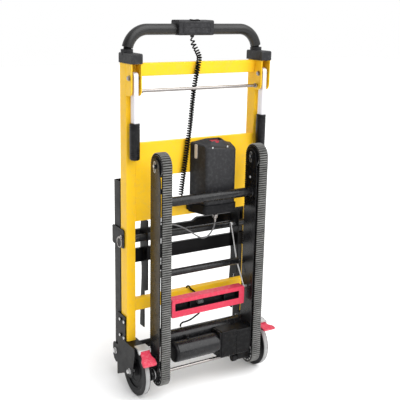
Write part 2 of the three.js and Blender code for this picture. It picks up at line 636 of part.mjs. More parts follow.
const RING_RADIUS = 17;
const lockPin = () => {
  const pull = new THREE.TorusGeometry(RING_RADIUS, 2, 6, 18).rotateY(Math.PI / 2);
  const x = -(RAIL_OUT + 13.4);
  return join(
    rodX(-(RAIL_OUT + GAP), x - 1.5, LATCH, 4, 16),
    rodX(-271.8, -274, LATCH, 7, 16),
    pull.translate(x, LATCH[0], LATCH[1] - RING_RADIUS),
  );
};
add('lock_pin', lockPin(), CHROME);

// ---- cables ----------------------------------------------------------------------------------
const cable = (points, radius, sides, steps) => {
  const route = new THREE.CatmullRomCurve3(points.map((point) => new THREE.Vector3(...point)));
  return sweep(route, ring(radius, sides), steps);
};

// The handset's curly cord, as one tube of the coil's outer diameter. It leaves the control
// box, clears the top crossbar and hangs down to its socket beside the battery.
const CURLY_RADIUS = 8;
const curlyRoute = [
  [CORD_EXIT_X, HANDLE_Y, GLAND_Z - GAP], [CORD_EXIT_X, HANDLE_Y, GLAND_Z - 10], [-5, 22, 1196],
  [0, 11, 1178], [2, -1, 1161], [-4, -9, 1143], [-12, -9, 1104], [-18, -4.9, 1059],
  [-23, -5.5, 1020], [-32, -9, 948], [-45, -9, 850], [-57, -9, 764],
  [CORD_SOCKET.x, CORD_SOCKET.y, CORD_SOCKET.top + 14],
  [CORD_SOCKET.x, CORD_SOCKET.y, CORD_SOCKET.top + GAP],
];
add('curly_cord', cable(curlyRoute, CURLY_RADIUS, 10, 34), CABLE);

// The battery's lead hangs in a loop from the holder's connector to the panel's lower edge.
const batteryRoute = [
  [...OUTLET, OUTLET_Z - GAP], [56, -40, 592], [50, -40, 569], [31, -40, 545], [9, -40, 538],
  [-12, -39, 547], [-41, -38, 567], [-65, -36, 583], [-89, -34, 595], [-112, -28, 601],
  [-130, -14, 601], [-140, 2, 606], [-142, 10, 612], [-142, 10.5, PANEL_Z[0] - GAP],
];
add('battery_cable', cable(batteryRoute, 3, 8, 30), CABLE);

// The motor's lead comes out of the lower crossbar's top and hangs across to the lower tube.
const motorRoute = [
  [-24, 11, 340.4], [-24, 11, 345], [-22, 3, 350], [-17, -4, 341], [2, -5, 324], [14, -7, 308],
  [20, -11, 285], [18, -17, 262], [9, -23, 249], [-10, -29, 243], [-33, -35, 237],
  [-53, -37, 234], [-66, -35, 232], [-73, -34, 226], [-74, -34, 217],
];
add('motor_cable', cable(motorRoute, 3.2, 8, 26), CABLE);

export default trolley;
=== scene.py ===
"""Looks of the stair climbing trolley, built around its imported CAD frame.

Sizes in the code are in millimetres, with x across the trolley, z up from the floor and y counted
from the rear face of the rails; at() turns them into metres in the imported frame's axes.
"""

import math
import random

import bmesh
import bpy
from mathutils import Matrix, Vector


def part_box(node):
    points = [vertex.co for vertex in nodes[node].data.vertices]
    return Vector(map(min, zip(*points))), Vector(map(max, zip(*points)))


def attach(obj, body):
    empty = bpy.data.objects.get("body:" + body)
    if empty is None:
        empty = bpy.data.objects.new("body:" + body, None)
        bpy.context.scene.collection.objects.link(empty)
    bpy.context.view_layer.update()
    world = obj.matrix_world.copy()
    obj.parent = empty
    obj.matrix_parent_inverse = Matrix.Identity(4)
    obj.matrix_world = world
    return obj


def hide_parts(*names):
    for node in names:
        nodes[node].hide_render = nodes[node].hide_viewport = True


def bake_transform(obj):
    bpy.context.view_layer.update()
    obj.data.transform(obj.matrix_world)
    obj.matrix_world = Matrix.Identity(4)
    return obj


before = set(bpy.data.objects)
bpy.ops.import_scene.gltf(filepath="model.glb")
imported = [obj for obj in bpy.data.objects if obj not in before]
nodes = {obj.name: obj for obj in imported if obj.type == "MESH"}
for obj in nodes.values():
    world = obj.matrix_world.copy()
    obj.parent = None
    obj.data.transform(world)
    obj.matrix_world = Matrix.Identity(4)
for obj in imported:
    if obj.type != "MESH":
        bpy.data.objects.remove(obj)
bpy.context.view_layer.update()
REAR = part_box("rail_left")[0].y
SIDES = (("left", -1), ("right", 1))
SHARP_ANGLE = 32


def at(x, y, z):
    """A point from millimetres, y counted from the rails' rear face."""
    return Vector((x * 0.001, REAR + y * 0.001, z * 0.001))


def low_high(node):
    """A node's lowest and highest corner in the script's own millimetres."""
    low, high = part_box(node)
    shift = Vector((0, REAR, 0))
    return (low - shift) * 1000, (high - shift) * 1000


# ---- camera ----
CAMERA_PLACE = (-1312.1, -2192.1, 1350.4)
CAMERA_ANGLES = (-31.235, 14.967, 1.184)
SENSOR_WIDTH = 36
LENS = 68.11


def make_camera():
    """The camera, from its azimuth, elevation and roll in degrees."""
    azimuth, elevation, roll = (math.radians(a) for a in CAMERA_ANGLES)
    forward = Vector((
        -math.sin(azimuth) * math.cos(elevation),
        math.cos(azimuth) * math.cos(elevation),
        -math.sin(elevation),
    ))
    level = Vector((math.cos(azimuth), math.sin(azimuth), 0))
    upright = level.cross(forward)
    right = level * math.cos(roll) + upright * math.sin(roll)
    up = upright * math.cos(roll) - level * math.sin(roll)
    data = bpy.data.cameras.new("camera")
    data.sensor_width = SENSOR_WIDTH
    data.lens = LENS
    camera = bpy.data.objects.new("camera", data)
    bpy.context.scene.collection.objects.link(camera)
    turn = Matrix((right, up, -forward)).transposed().to_4x4()
    camera.matrix_world = Matrix.Translation(at(*CAMERA_PLACE)) @ turn
    bpy.context.scene.camera = camera


make_camera()


# ---- materials ----
class Tree:
    """A material's node tree, with short calls for adding and wiring nodes."""

    def __init__(self, name):
        self.material = bpy.data.materials.new(name)
        self.material.use_nodes = True
        self.tree = self.material.node_tree
        self.shader = self.tree.nodes["Principled BSDF"]
        self.place = self.add("ShaderNodeTexCoord").outputs["Object"]

    def add(self, kind, inputs=None, **settings):
        node = self.tree.nodes.new(kind)
        for key, value in settings.items():
            setattr(node, key, value)
        for key, value in (inputs or {}).items():
            if isinstance(value, bpy.types.NodeSocket):
                self.tree.links.new(value, node.inputs[key])
            else:
                node.inputs[key].default_value = value
        return node

    def stretched(self, scale):
        return self.add("ShaderNodeMapping", {"Vector": self.place, "Scale": scale}).outputs[0]

    def noise(self, scale, detail=3.0, roughness=0.55, where=None):
        inputs = {"Vector": where or self.place, "Scale": scale, "Detail": detail, "Roughness": roughness}
        return self.add("ShaderNodeTexNoise", inputs).outputs["Fac"]

    def ranged(self, value, low, high, to_low=0.0, to_high=1.0):
        inputs = {"Value": value, "From Min": low, "From Max": high, "To Min": to_low, "To Max": to_high}
        return self.add("ShaderNodeMapRange", inputs).outputs[0]

    def mixed(self, share, first, second):
        mix = self.add("ShaderNodeMix", {"Factor": share}, data_type="RGBA")
        for socket, value in (("A", first), ("B", second)):
            target = next(s for s in mix.inputs if s.name == socket and s.type == "RGBA")
            if isinstance(value, bpy.types.NodeSocket):
                self.tree.links.new(value, target)
            else:
                target.default_value = (*value, 1)
        return next(s for s in mix.outputs if s.type == "RGBA")

    def times(self, first, second):
        return self.add("ShaderNodeMath", {0: first, 1: second}, operation="MULTIPLY").outputs[0]

    def bump(self, height, strength, distance, under=None):
        inputs = {"Height": height, "Strength": strength, "Distance": distance}
        if under is not None:
            inputs["Normal"] = under
        return self.add("ShaderNodeBump", inputs).outputs[0]

    def finish(self, color, roughness, normal=None, **fixed):
        for key, value in (("Base Color", color), ("Roughness", roughness), ("Normal", normal)):
            if value is not None:
                self.tree.links.new(value, self.shader.inputs[key])
        for key, value in fixed.items():
            self.shader.inputs[key.replace("_", " ")].default_value = value
        return self.material


def worn_edges(t, spread=0.04):
    """Where the surface turns outwards sharply, broken up by noise."""
    point = t.add("ShaderNodeNewGeometry").outputs["Pointiness"]
    edge = t.ranged(point, 0.5 + spread * 0.4, 0.5 + spread)
    return t.times(edge, t.ranged(t.noise(90, 4), 0.48, 0.66))


def powder_coat(name, color, shade, wear, roughness, peel, gloss):
    """Baked paint: slight drifts of tone, orange peel, and scuffed edges."""
    t = Tree(name)
    drift = t.ranged(t.noise(7, 4), 0.3, 0.75)
    tone = t.mixed(drift, color, shade)
    scuff = t.times(t.ranged(t.noise(38, 6, 0.7), 0.64, 0.85), 0.10)
    tone = t.mixed(scuff, tone, wear)
    tone = t.mixed(t.times(worn_edges(t), 0.30), tone, wear)
    rough = t.ranged(t.noise(23, 5), 0.3, 0.8, roughness * 0.8, roughness * 1.35)
    skin = t.bump(t.noise(420, 2), peel, 0.0003)
    skin = t.bump(t.noise(60, 2), peel * 0.5, 0.0005, skin)
    return t.finish(tone, rough, skin, Specular_IOR_Level=gloss)


def moulded(name, color, shade, roughness, grain_scale=900.0, grain=0.25, gloss=0.4):
    """Moulded plastic or foam: a fine grain with faint flow marks and rubbed edges."""
    t = Tree(name)
    tone = t.mixed(t.ranged(t.noise(9, 4), 0.3, 0.7), color, shade)
    rubbed = tuple(min(1.0, c * 1.9 + 0.02) for c in color)
    tone = t.mixed(t.times(worn_edges(t), 0.4), tone, rubbed)
    dust = t.ranged(t.noise(30, 6, 0.7), 0.55, 0.85, 0.0, 0.15)
    tone = t.mixed(dust, tone, tuple(c * 1.4 + 0.008 for c in color))
    rough = t.ranged(t.noise(17, 4), 0.3, 0.75, roughness * 0.88, min(1.0, roughness * 1.15))
    spots = t.add("ShaderNodeTexVoronoi", {"Vector": t.place, "Scale": grain_scale})
    skin = t.bump(spots.outputs["Distance"], grain, 0.0002)
    return t.finish(tone, rough, skin, Specular_IOR_Level=gloss)


def bare_metal(name, color, shade, roughness, brushed=(1, 1, 1), streak=0.12, metallic=1.0):
    """Bare or plated metal, with streaks drawn out along the long side of brushed."""
    t = Tree(name)
    tone = t.mixed(t.ranged(t.noise(14, 5), 0.3, 0.75), color, shade)
    lines = t.noise(260, 5, 0.6, t.stretched(brushed))
    rough = t.ranged(lines, 0.25, 0.8, roughness * 0.7, roughness * 1.4)
    skin = t.bump(lines, streak, 0.0002)
    return t.finish(tone, rough, skin, Metallic=metallic)


def dusty_rubber(name, color, dust, roughness, share=0.5):
    """Rubber that has picked up dust, more of it in some places than in others."""
    t = Tree(name)
    patches = t.ranged(t.noise(26, 6, 0.65), 0.32, 0.72, 0.0, share)
    specks = t.ranged(t.noise(300, 4, 0.7), 0.5, 0.75, 0.0, 0.4)
    tone = t.mixed(specks, t.mixed(patches, color, dust), dust)
    rough = t.ranged(t.noise(80, 4), 0.3, 0.8, roughness * 0.85, min(1.0, roughness * 1.12))
    skin = t.bump(t.noise(700, 4), 0.3, 0.0004)
    return t.finish(tone, rough, skin, Specular_IOR_Level=0.25)


YELLOW = powder_coat(
    "yellow_paint", (0.93, 0.56, 0.018), (0.88, 0.51, 0.014), (0.72, 0.45, 0.08), 0.42, 0.06, 0.22,
)
BLACK = powder_coat(
    "black_paint", (0.004, 0.004, 0.0045), (0.0025, 0.0025, 0.003), (0.03, 0.03, 0.03), 0.36, 0.02, 0.12,
)
GLOSS = powder_coat(
    "gloss_black_paint", (0.009, 0.009, 0.010), (0.006, 0.006, 0.007), (0.05, 0.05, 0.05), 0.27, 0.02, 0.3,
)
RED = powder_coat(
    "red_paint", (0.60, 0.032, 0.075), (0.52, 0.024, 0.06), (0.60, 0.30, 0.32), 0.40, 0.05, 0.3,
)
FOAM = moulded("foam", (0.013, 0.0125, 0.0125), (0.008, 0.008, 0.008), 0.42, 620, 0.3, 0.45)
PLASTIC = moulded("charcoal_plastic", (0.020, 0.020, 0.022), (0.014, 0.014, 0.016), 0.55, 900.0, 0.25, 0.3)
DARK_PLASTIC = moulded("black_plastic", (0.006, 0.006, 0.007), (0.004, 0.004, 0.005), 0.5, 900, 0.2, 0.16)
GRIP = moulded("grip_rubber", (0.005, 0.005, 0.006), (0.003, 0.003, 0.004), 0.36, 500, 0.15, 0.25)
RED_PLASTIC = moulded("red_plastic", (0.42, 0.012, 0.03), (0.34, 0.008, 0.02), 0.4, 700, 0.12)
CREAM = moulded("cream_plastic", (0.66, 0.57, 0.47), (0.60, 0.51, 0.41), 0.5, 700, 0.12)
CABLE = moulded("cable_black", (0.003, 0.003, 0.003), (0.002, 0.002, 0.002), 0.55, 500, 0.1, 0.07)
CABLE_GREY = moulded("cable_grey", (0.13, 0.13, 0.135), (0.09, 0.09, 0.095), 0.40, 500, 0.15)
BELT = dusty_rubber("belt_rubber", (0.008, 0.008, 0.008), (0.022, 0.022, 0.021), 0.85, 0.35)
# The ribs' base grey is far lighter than the belt band's: painted highlight along the rib tops, with real
# dust patches over it.
TREAD = dusty_rubber("belt_rib_highlight_and_dust", (0.085, 0.085, 0.082), (0.24, 0.24, 0.23), 0.9, 0.8)
TYRE = dusty_rubber("tyre_rubber", (0.013, 0.013, 0.014), (0.035, 0.035, 0.035), 0.62, 0.35)
TYRE_TREAD = dusty_rubber("tyre_tread", (0.26, 0.26, 0.26), (0.44, 0.44, 0.44), 0.75, 0.6)
ALUMINIUM = bare_metal("aluminium", (0.74, 0.73, 0.76), (0.68, 0.67, 0.70), 0.40, (1, 1, 0.04), 0.12, 0.45)
CHROME = bare_metal("chrome", (0.33, 0.31, 0.30), (0.27, 0.25, 0.24), 0.24, (0.02, 1, 1), 0.05)
ZINC = bare_metal("zinc", (0.64, 0.64, 0.64), (0.52, 0.52, 0.52), 0.38, (1, 1, 1), 0.2, 0.8)


# ---- mesh helpers ----
AXES = {"x": (1, 2, 0), "y": (0, 2, 1), "z": (0, 1, 2)}


def put(axis, u, v, along):
    """A point from its two coordinates across an axis and its place along it."""
    point = [0.0, 0.0, 0.0]
    for index, value in zip(AXES[axis], (u, v, along)):
        point[index] = value
    return at(*point)


def skin(bm, first, second):
    """Faces between two rings of points, either of which may be one point."""
    count = max(len(first), len(second))
    for i in range(count):
        corners = [
            first[i % len(first)], first[(i + 1) % len(first)],
            second[(i + 1) % len(second)], second[i % len(second)],
        ]
        corners = list(dict.fromkeys(corners))
        if len(corners) > 2:
            bm.faces.new(corners)


def loft(bm, rings):
    """A solid through rings of points in metres, closed by a face at both ends."""
    rings = [[bm.verts.new(point) for point in ring] for ring in rings]
    bm.faces.new(rings[0])
    bm.faces.new(rings[-1])
    for first, second in zip(rings, rings[1:]):
        skin(bm, first, second)


def prism(bm, axis, outline, low, high):
    """A flat outline drawn out along an axis."""
    loft(bm, [[put(axis, u, v, w) for u, v in outline] for w in (low, high)])


def pipe(bm, axis, outer, inner, low, high):
    """A prism with a hole; both outlines have the same number of points."""
    rings = [
        [bm.verts.new(put(axis, u, v, w)) for u, v in outline]
        for outline, w in ((outer, low), (outer, high), (inner, high), (inner, low))
    ]
    for first, second in zip(rings, rings[1:] + rings[:1]):
        skin(bm, first, second)


def block(bm, x0, x1, y0, y1, z0, z1):
    """A rectangular solid."""
    x0, x1 = sorted((x0, x1))
    prism(bm, "x", [(y0, z0), (y1, z0), (y1, z1), (y0, z1)], x0, x1)


def arc(u, v, radius, start, end, count):
    """Points on an arc round (u, v), its angles in degrees."""
    angles = (math.radians(start + (end - start) * i / count) for i in range(count + 1))
    return [(u + radius * math.cos(a), v + radius * math.sin(a)) for a in angles]


def rounded(u0, u1, v0, v1, radius, count=6):
    """A rectangle's outline with round corners."""
    corners = ((u1, v1, -1, -1, 0), (u0, v1, 1, -1, 90), (u0, v0, 1, 1, 180), (u1, v0, -1, 1, 270))
    points = []
    for u, v, du, dv, start in corners:
        points += arc(u + du * radius, v + dv * radius, radius, start, start + 90, count)
    return points


def lathe(bm, axis, centre, profile, count=48, closed=False):
    """A profile of (radius, place along the axis) turned about the axis through centre."""
    rings = []
    for radius, along in profile:
        if radius < 1e-6:
            rings.append([bm.verts.new(put(axis, *centre, along))])
            continue
        rings.append([
            bm.verts.new(put(axis, u, v, along)) for u, v in arc(*centre, radius, 0, 360, count)[:-1]
        ])
    for first, second in zip(rings, rings[1:] + (rings[:1] if closed else [])):
        skin(bm, first, second)


def drum(bm, axis, centre, low, high, radius, edge=1.0, count=48):
    """A solid cylinder with rounded rims."""
    low, high = sorted((low, high))
    step = edge * 0.3
    profile = [
        (0, low), (radius - edge, low), (radius - step, low + step), (radius, low + edge),
        (radius, high - edge), (radius - step, high - step), (radius - edge, high), (0, high),
    ]
    lathe(bm, axis, centre, profile, count)


def frames_along(points):
    """A tangent and two side directions at each point, carried along without twisting."""
    count = len(points)
    tangents = [
        (points[min(i + 1, count - 1)] - points[max(i - 1, 0)]).normalized() for i in range(count)
    ]
    side = tangents[0].orthogonal().normalized()
    found = []
    for tangent in tangents:
        side = (side - tangent * side.dot(tangent)).normalized()
        found.append((tangent, side, tangent.cross(side)))
    return found


def tube(bm, points, radius, count=16):
    """A round tube along points in metres; radius in mm may depend on the share of the way."""
    size = radius if callable(radius) else (lambda share: radius)
    rings = []
    for i, (point, (_, side, other)) in enumerate(zip(points, frames_along(points))):
        r = size(i / (len(points) - 1)) * 0.001
        turns = (math.tau * k / count for k in range(count))
        rings.append([point + (side * math.cos(a) + other * math.sin(a)) * r for a in turns])
    loft(bm, rings)


WASHER_THICKNESS = 1.2


def hex_head(bm, axis, centre, start, end, across=16.0, washer=True):
    """A chamfered hexagon head or nut from start to end along the axis, with its washer."""
    way = 1 if end > start else -1
    radius = across / math.sqrt(3)
    if washer:
        seat = start + way * WASHER_THICKNESS
        wide = radius * 1.22
        lathe(bm, axis, centre, [(0, start), (wide, start), (wide, seat), (0, seat)], 32)
        start = seat
    edge = end - way * 0.12 * radius
    lathe(bm, axis, centre, [(0, start), (radius, start), (radius, edge), (radius * 0.86, end), (0, end)], 6)


def cap_screw(bm, axis, centre, start, end, radius=5.0):
    """A domed screw head with a round recess."""
    shares = ((0, 0), (1, 0), (1, 0.35), (0.9, 0.7), (0.6, 1), (0.42, 1), (0.36, 0.35), (0, 0.3))
    lathe(bm, axis, centre, [(radius * r, start + (end - start) * rise) for r, rise in shares], 20)


def round_edges(obj, bevel, segments):
    """Rounds the sharp edges by bevel mm and returns the modifier that evens out the shading."""
    edge = obj.modifiers.new("edge", "BEVEL")
    edge.width = bevel * 0.001
    edge.segments = segments
    edge.limit_method = "ANGLE"
    edge.angle_limit = math.radians(SHARP_ANGLE)
    return obj.modifiers.new("shade", "WEIGHTED_NORMAL")


def smooth(obj):
    for face in obj.data.polygons:
        face.use_smooth = True


def soften(obj, bevel=0.0, segments=3):
    """Shades the faces smoothly between edges that are rounded, or marked sharp without a bevel."""
    smooth(obj)
    if bevel:
        round_edges(obj, bevel, segments).keep_sharp = True
    else:
        obj.data.set_sharp_from_angle(angle=math.radians(38))


def mesh_object(name, bm, material):
    """A finished bmesh as an object in the scene."""
    bmesh.ops.recalc_face_normals(bm, faces=bm.faces)
    mesh = bpy.data.meshes.new(name)
    bm.to_mesh(mesh)
    bm.free()
    obj = bpy.data.objects.new(name, mesh)
    bpy.context.scene.collection.objects.link(obj)
    mesh.materials.append(material)
    return obj


def piece(name, bm, material, body, stands_for=(), bevel=0.0, segments=3):
    """Makes a named piece of a finished bmesh, riding on a body."""
    obj = mesh_object(name, bm, material)
    soften(obj, bevel, segments)
    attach(obj, body)
    if stands_for:
        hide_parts(*stands_for)


def dress(node, material, bevel=0.0, segments=2):
    """Gives a CAD node its finish and rounds its edges."""
    obj = nodes[node]
    obj.data.materials.clear()
    obj.data.materials.append(material)
    smooth(obj)
    if "custom_normal" in obj.data.attributes:
        obj.data.attributes.remove(obj.data.attributes["custom_normal"])
    weld = obj.modifiers.new("weld", "WELD")
    weld.merge_threshold = 0.00002
    if bevel:
        round_edges(obj, bevel, segments)


# ---- cords ----
def through(points, spacing):
    """Points on a smooth curve through the given ones, about spacing mm apart."""
    ends = [points[0] * 2 - points[1], *points, points[-1] * 2 - points[-2]]
    found = []
    for p0, p1, p2, p3 in zip(ends, ends[1:], ends[2:], ends[3:]):
        d0, d1, d2 = ((b - a).length ** 0.5 for a, b in ((p0, p1), (p1, p2), (p2, p3)))
        start = ((p1 - p0) / d0 - (p2 - p0) / (d0 + d1) + (p2 - p1) / d1) * d1
        stop = ((p2 - p1) / d1 - (p3 - p1) / (d1 + d2) + (p3 - p2) / d2) * d1
        steps = max(2, round((p2 - p1).length * 1000 / spacing))
        for i in range(steps):
            s = i / steps
            found.append(
                p1 + start * s + (p2 * 3 - p1 * 3 - start * 2 - stop) * s * s
                + (p1 * 2 - p2 * 2 + start + stop) * s ** 3
            )
    return [*found, points[-1]]


def length_of(points):
    return sum((b - a).length for a, b in zip(points, points[1:]))


def curve_piece(name, points, diameter, material, node, sides=6):
    """A cord on the frame as one open spline with a round section, in a CAD node's place."""
    data = bpy.data.curves.new(name, "CURVE")
    data.dimensions = "3D"
    data.bevel_depth = diameter * 0.0005
    data.bevel_resolution = sides // 2 - 1
    data.use_fill_caps = True
    spline = data.splines.new("POLY")
    spline.points.add(len(points) - 1)
    for target, point in zip(spline.points, points):
        target.co = (*point, 1)
    spline.use_smooth = True
    obj = bpy.data.objects.new(name, data)
    bpy.context.scene.collection.objects.link(obj)
    data.materials.append(material)
    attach(obj, "frame")
    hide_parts(node)
    return obj


CURLY_WIRE = 4.9
CURLY_RADIUS = 9.3
CURLY_PITCH = 8.4
CURLY_LEAD = 0.012
CURLY_OPEN = 0.060
BATTERY_WIRE = 5
MOTOR_WIRE = 6


def make_curly_cord():
    """The handset cord: a helix that opens out near its top, wound round the cord's route."""
    route = [at(*p) for p in (
        (-10, 27, 1221.6), (-10, 27, 1212), (-5, 22, 1196), (0, 11, 1178), (2, -1, 1161), (-4, -9, 1143),
        (-12, -9, 1104), (-18, -4.9, 1059), (-23, -5.5, 1020), (-32, -9, 948), (-45, -9, 850),
        (-57, -9, 764), (-66, -10.5, 700), (-66, -10.5, 686.4),
    )]
    line = through(route, 0.5)
    long = length_of(line)
    sides = frames_along(line)
    coil = (CURLY_RADIUS - CURLY_WIRE / 2) * 0.001
    points = []
    gone = 0.0
    angle = 0.0
    for i in range(1, len(line)):
        step = (line[i] - line[i - 1]).length
        gone += step
        lead = min(1.0, gone / CURLY_LEAD, (long - gone) / CURLY_LEAD)
        open_part = max(0.0, 1 - gone / CURLY_OPEN)
        pitch = CURLY_PITCH * (1 + 0.75 * open_part) * 0.001
        angle += math.tau * step / pitch * (0.25 + 0.75 * lead)
        _, side, other = sides[i]
        around = side * math.cos(angle) + other * math.sin(angle)
        points.append(line[i] + around * coil * max(0.0, lead))
    points[-1] = line[-1].copy()
    points.insert(0, line[0].copy())
    obj = curve_piece("curly_cord_helix", points, CURLY_WIRE, CABLE, "curly_cord")
    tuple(line[0])
    length_of(points)


def make_battery_cable():
    """The battery's grey lead, hanging in a loop from the holder to the panel's lower edge."""
    route = [at(*p) for p in (
        (56, -40, 605.6), (56, -40, 592), (50, -40, 569), (31, -40, 545), (9, -40, 538), (-12, -39, 547),
        (-41, -38, 567), (-65, -36, 583), (-89, -34, 595), (-112, -28, 601), (-130, -14, 601),
        (-140, 2, 606), (-142, 10, 612), (-142, 10.5, 619.6),
    )]
    points = through(route, 5)
    obj = curve_piece("battery_lead", points, BATTERY_WIRE, CABLE_GREY, "battery_cable", 12)
    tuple(points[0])
    length_of(points)


def make_motor_cable():
    """The motor's lead, a tube that bends between the fixed crossbar and the tilting crawler."""
    route = [at(*p) for p in (
        (-24, 11, 340.4), (-24, 11, 345), (-22, 3, 350), (-17, -4, 341), (2, -5, 324), (14, -7, 308),
        (20, -11, 285), (18, -17, 262), (9, -23, 249), (-10, -29, 243), (-33, -35, 237), (-53, -37, 234),
        (-66, -35, 232), (-73, -34, 226), (-74, -34, 217),
    )]
    points = through(route, 3)
    bm = bmesh.new()
    tube(bm, points, MOTOR_WIRE / 2, 12)
    obj = mesh_object("motor_lead", bm, CABLE)
    soften(obj)
    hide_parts("motor_cable")
    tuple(points[0])
    length_of(points)
    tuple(points[0])
    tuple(points[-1])
    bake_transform(obj)


make_curly_cord()
make_battery_cable()
make_motor_cable()


# ---- back frame ----
for name, _ in SIDES:
    dress(f"rail_{name}", YELLOW, 0.5)
    dress(f"arm_bracket_{name}", YELLOW, 0.7)
for name in ("top_crossbar", "lower_crossbar", "back_panel"):
    dress(name, YELLOW, 0.6)
dress("guide_frame", BLACK, 0.7)
dress("handle_tube", BLACK)


def weld_beads(name, material, body, seams):
    """Lumpy beads along straight seams, each from one point to another."""
    draw = random.Random(name)
    bm = bmesh.new()
    for start, end in seams:
        steps = max(6, round((end - start).length / 0.0022))
        points = [start.lerp(end, i / steps) for i in range(steps + 1)]
        sizes = [1.5 + 0.35 * math.sin(i * 2.1) + draw.uniform(-0.15, 0.15) for i in range(steps + 1)]
        sizes[0] = sizes[-1] = 0.5
        tube(bm, points, lambda share, s=sizes: s[round(share * (len(s) - 1))], 8)
    piece(name, bm, material, body)


def frame_seams():
    """The corners where the crossbars and the panel meet the rails."""
    seams = []
    for node in ("top_crossbar", "lower_crossbar", "back_panel"):
        low, high = low_high(node)
        for x in (low.x, high.x):
            seams.append((at(x, low.y, low.z), at(x, low.y, high.z)))
        for x in (low.x, high.x):
            seams.append((at(x, low.y, high.z), at(x, high.y, high.z)))
    return seams


weld_beads("frame_welds", YELLOW, "frame", frame_seams())


def bar_of(node):
    """The ends, the middle and the radius of a round bar that lies along x."""
    low, high = low_high(node)
    return low.x, high.x, ((low.y + high.y) / 2, (low.z + high.z) / 2), (high.z - low.z) / 2


def make_tie_tube():
    """The fixed tube between the rails, with a pair of beads at each end."""
    left, right, centre, radius = bar_of("tie_tube")
    bm = bmesh.new()
    drum(bm, "x", centre, left, right, radius, 0.4, 56)
    for x in (-184, -188, 184, 188):
        drum(bm, "x", centre, x - 1.5, x + 1.5, radius + 1.3, 1.2, 56)
    piece("tie_tube_bar", bm, GLOSS, "frame", ["tie_tube"])


make_tie_tube()

# ---- push handle ----
HANDLE_Y = 27
HANDLE_TOP = 1249
HANDLE_BEND = 72
RAIL_X = 250
FOAM_RADIUS = 18.0
FOAM_FOOT = 1193
BOX_BOTTOM = 1230.0


def foam_sleeve(name, side, inner_end):
    """The soft sleeve: up from the rail cap, round the bend and in to the control box."""
    corner = RAIL_X - HANDLE_BEND
    bend = HANDLE_TOP - HANDLE_BEND
    skipped = math.degrees(math.asin((FOAM_FOOT - bend) / HANDLE_BEND))
    turn = arc(corner, bend, HANDLE_BEND, skipped, 90, 30)
    run = [(corner + (inner_end - corner) * i / 20, HANDLE_TOP) for i in range(1, 21)]
    points = [at(side * x, HANDLE_Y, z) for x, z in turn + run]
    long = length_of(points) * 1000

    def radius(share):
        near_end = min(share, 1 - share) * long
        roll = min(1.0, near_end / 1.2)
        return FOAM_RADIUS - 1.0 * (1 - math.sqrt(max(0.0, 1 - (1 - roll) ** 2)))

    line = []
    for a, b in zip(points, points[1:]):
        line += [a.lerp(b, i / 3) for i in range(3)]
    line.append(points[-1])
    bm = bmesh.new()
    tube(bm, line, radius, 36)
    piece(f"foam_sleeve_{name}", bm, FOAM, "frame", [f"foam_grip_{name}"])


box_low, box_high = low_high("control_box")
foam_sleeve("left", -1, -box_low.x + 0.5)
foam_sleeve("right", 1, box_high.x + 0.5)
for name, side in SIDES:
    dress(f"handle_cap_{name}", PLASTIC, 1.6, 3)


def make_control_box():
    """The switch housing: a shell in two halves with end collars and a cord gland."""
    low, high = box_low, box_high
    gap = 0.5
    middle = (BOX_BOTTOM + high.z) / 2

    def section(inset, radius):
        return rounded(low.y + inset, high.y - inset, BOX_BOTTOM + inset, high.z - inset, radius, 8)

    bm = bmesh.new()
    lower_half = [(u, min(v, middle - gap)) for u, v in section(0, 7)]
    upper_half = [(u, max(v, middle + gap)) for u, v in section(0, 7)]
    for outline in (lower_half, upper_half):
        clean = [p for i, p in enumerate(outline) if p != outline[i - 1]]
        prism(bm, "x", clean, low.x + 5, high.x - 5)
    prism(bm, "x", section(0.8, 6.5), low.x + 3, high.x - 3)
    for x0, x1 in ((low.x, low.x + 6), (high.x - 6, high.x)):
        prism(bm, "x", section(0.4, 6.8), x0, x1)
    lathe(bm, "z", (-10, HANDLE_Y), [
        (0, 1222), (5, 1222), (6, 1223), (6, 1225), (7, 1226), (7, 1231), (0, 1231),
    ], 24)
    piece("switch_housing", bm, PLASTIC, "frame", ["control_box"], 0.9)
    bm = bmesh.new()
    pipe(bm, "z", rounded(-32, 4, -2, 18, 3), rounded(-29, 1, -0.6, 16.6, 2), high.z - 1, high.z + 0.9)
    piece("switch_bezel", bm, DARK_PLASTIC, "frame", (), 0.4)
    bm = bmesh.new()
    face = rounded(low.x + 16, high.x - 12, BOX_BOTTOM + 6, high.z - 7, 4, 6)
    inset = rounded(low.x + 18.5, high.x - 14.5, BOX_BOTTOM + 8.5, high.z - 9.5, 2.5, 6)
    pipe(bm, "y", face, inset, low.y + 1, low.y - 0.9)
    piece("housing_face_rim", bm, PLASTIC, "frame", (), 0.4)


make_control_box()
dress("rocker_switch", DARK_PLASTIC, 0.8, 3)

# ---- swing arms ----
ARM_X = 248
ARM_PIVOT = (-24, 1101)


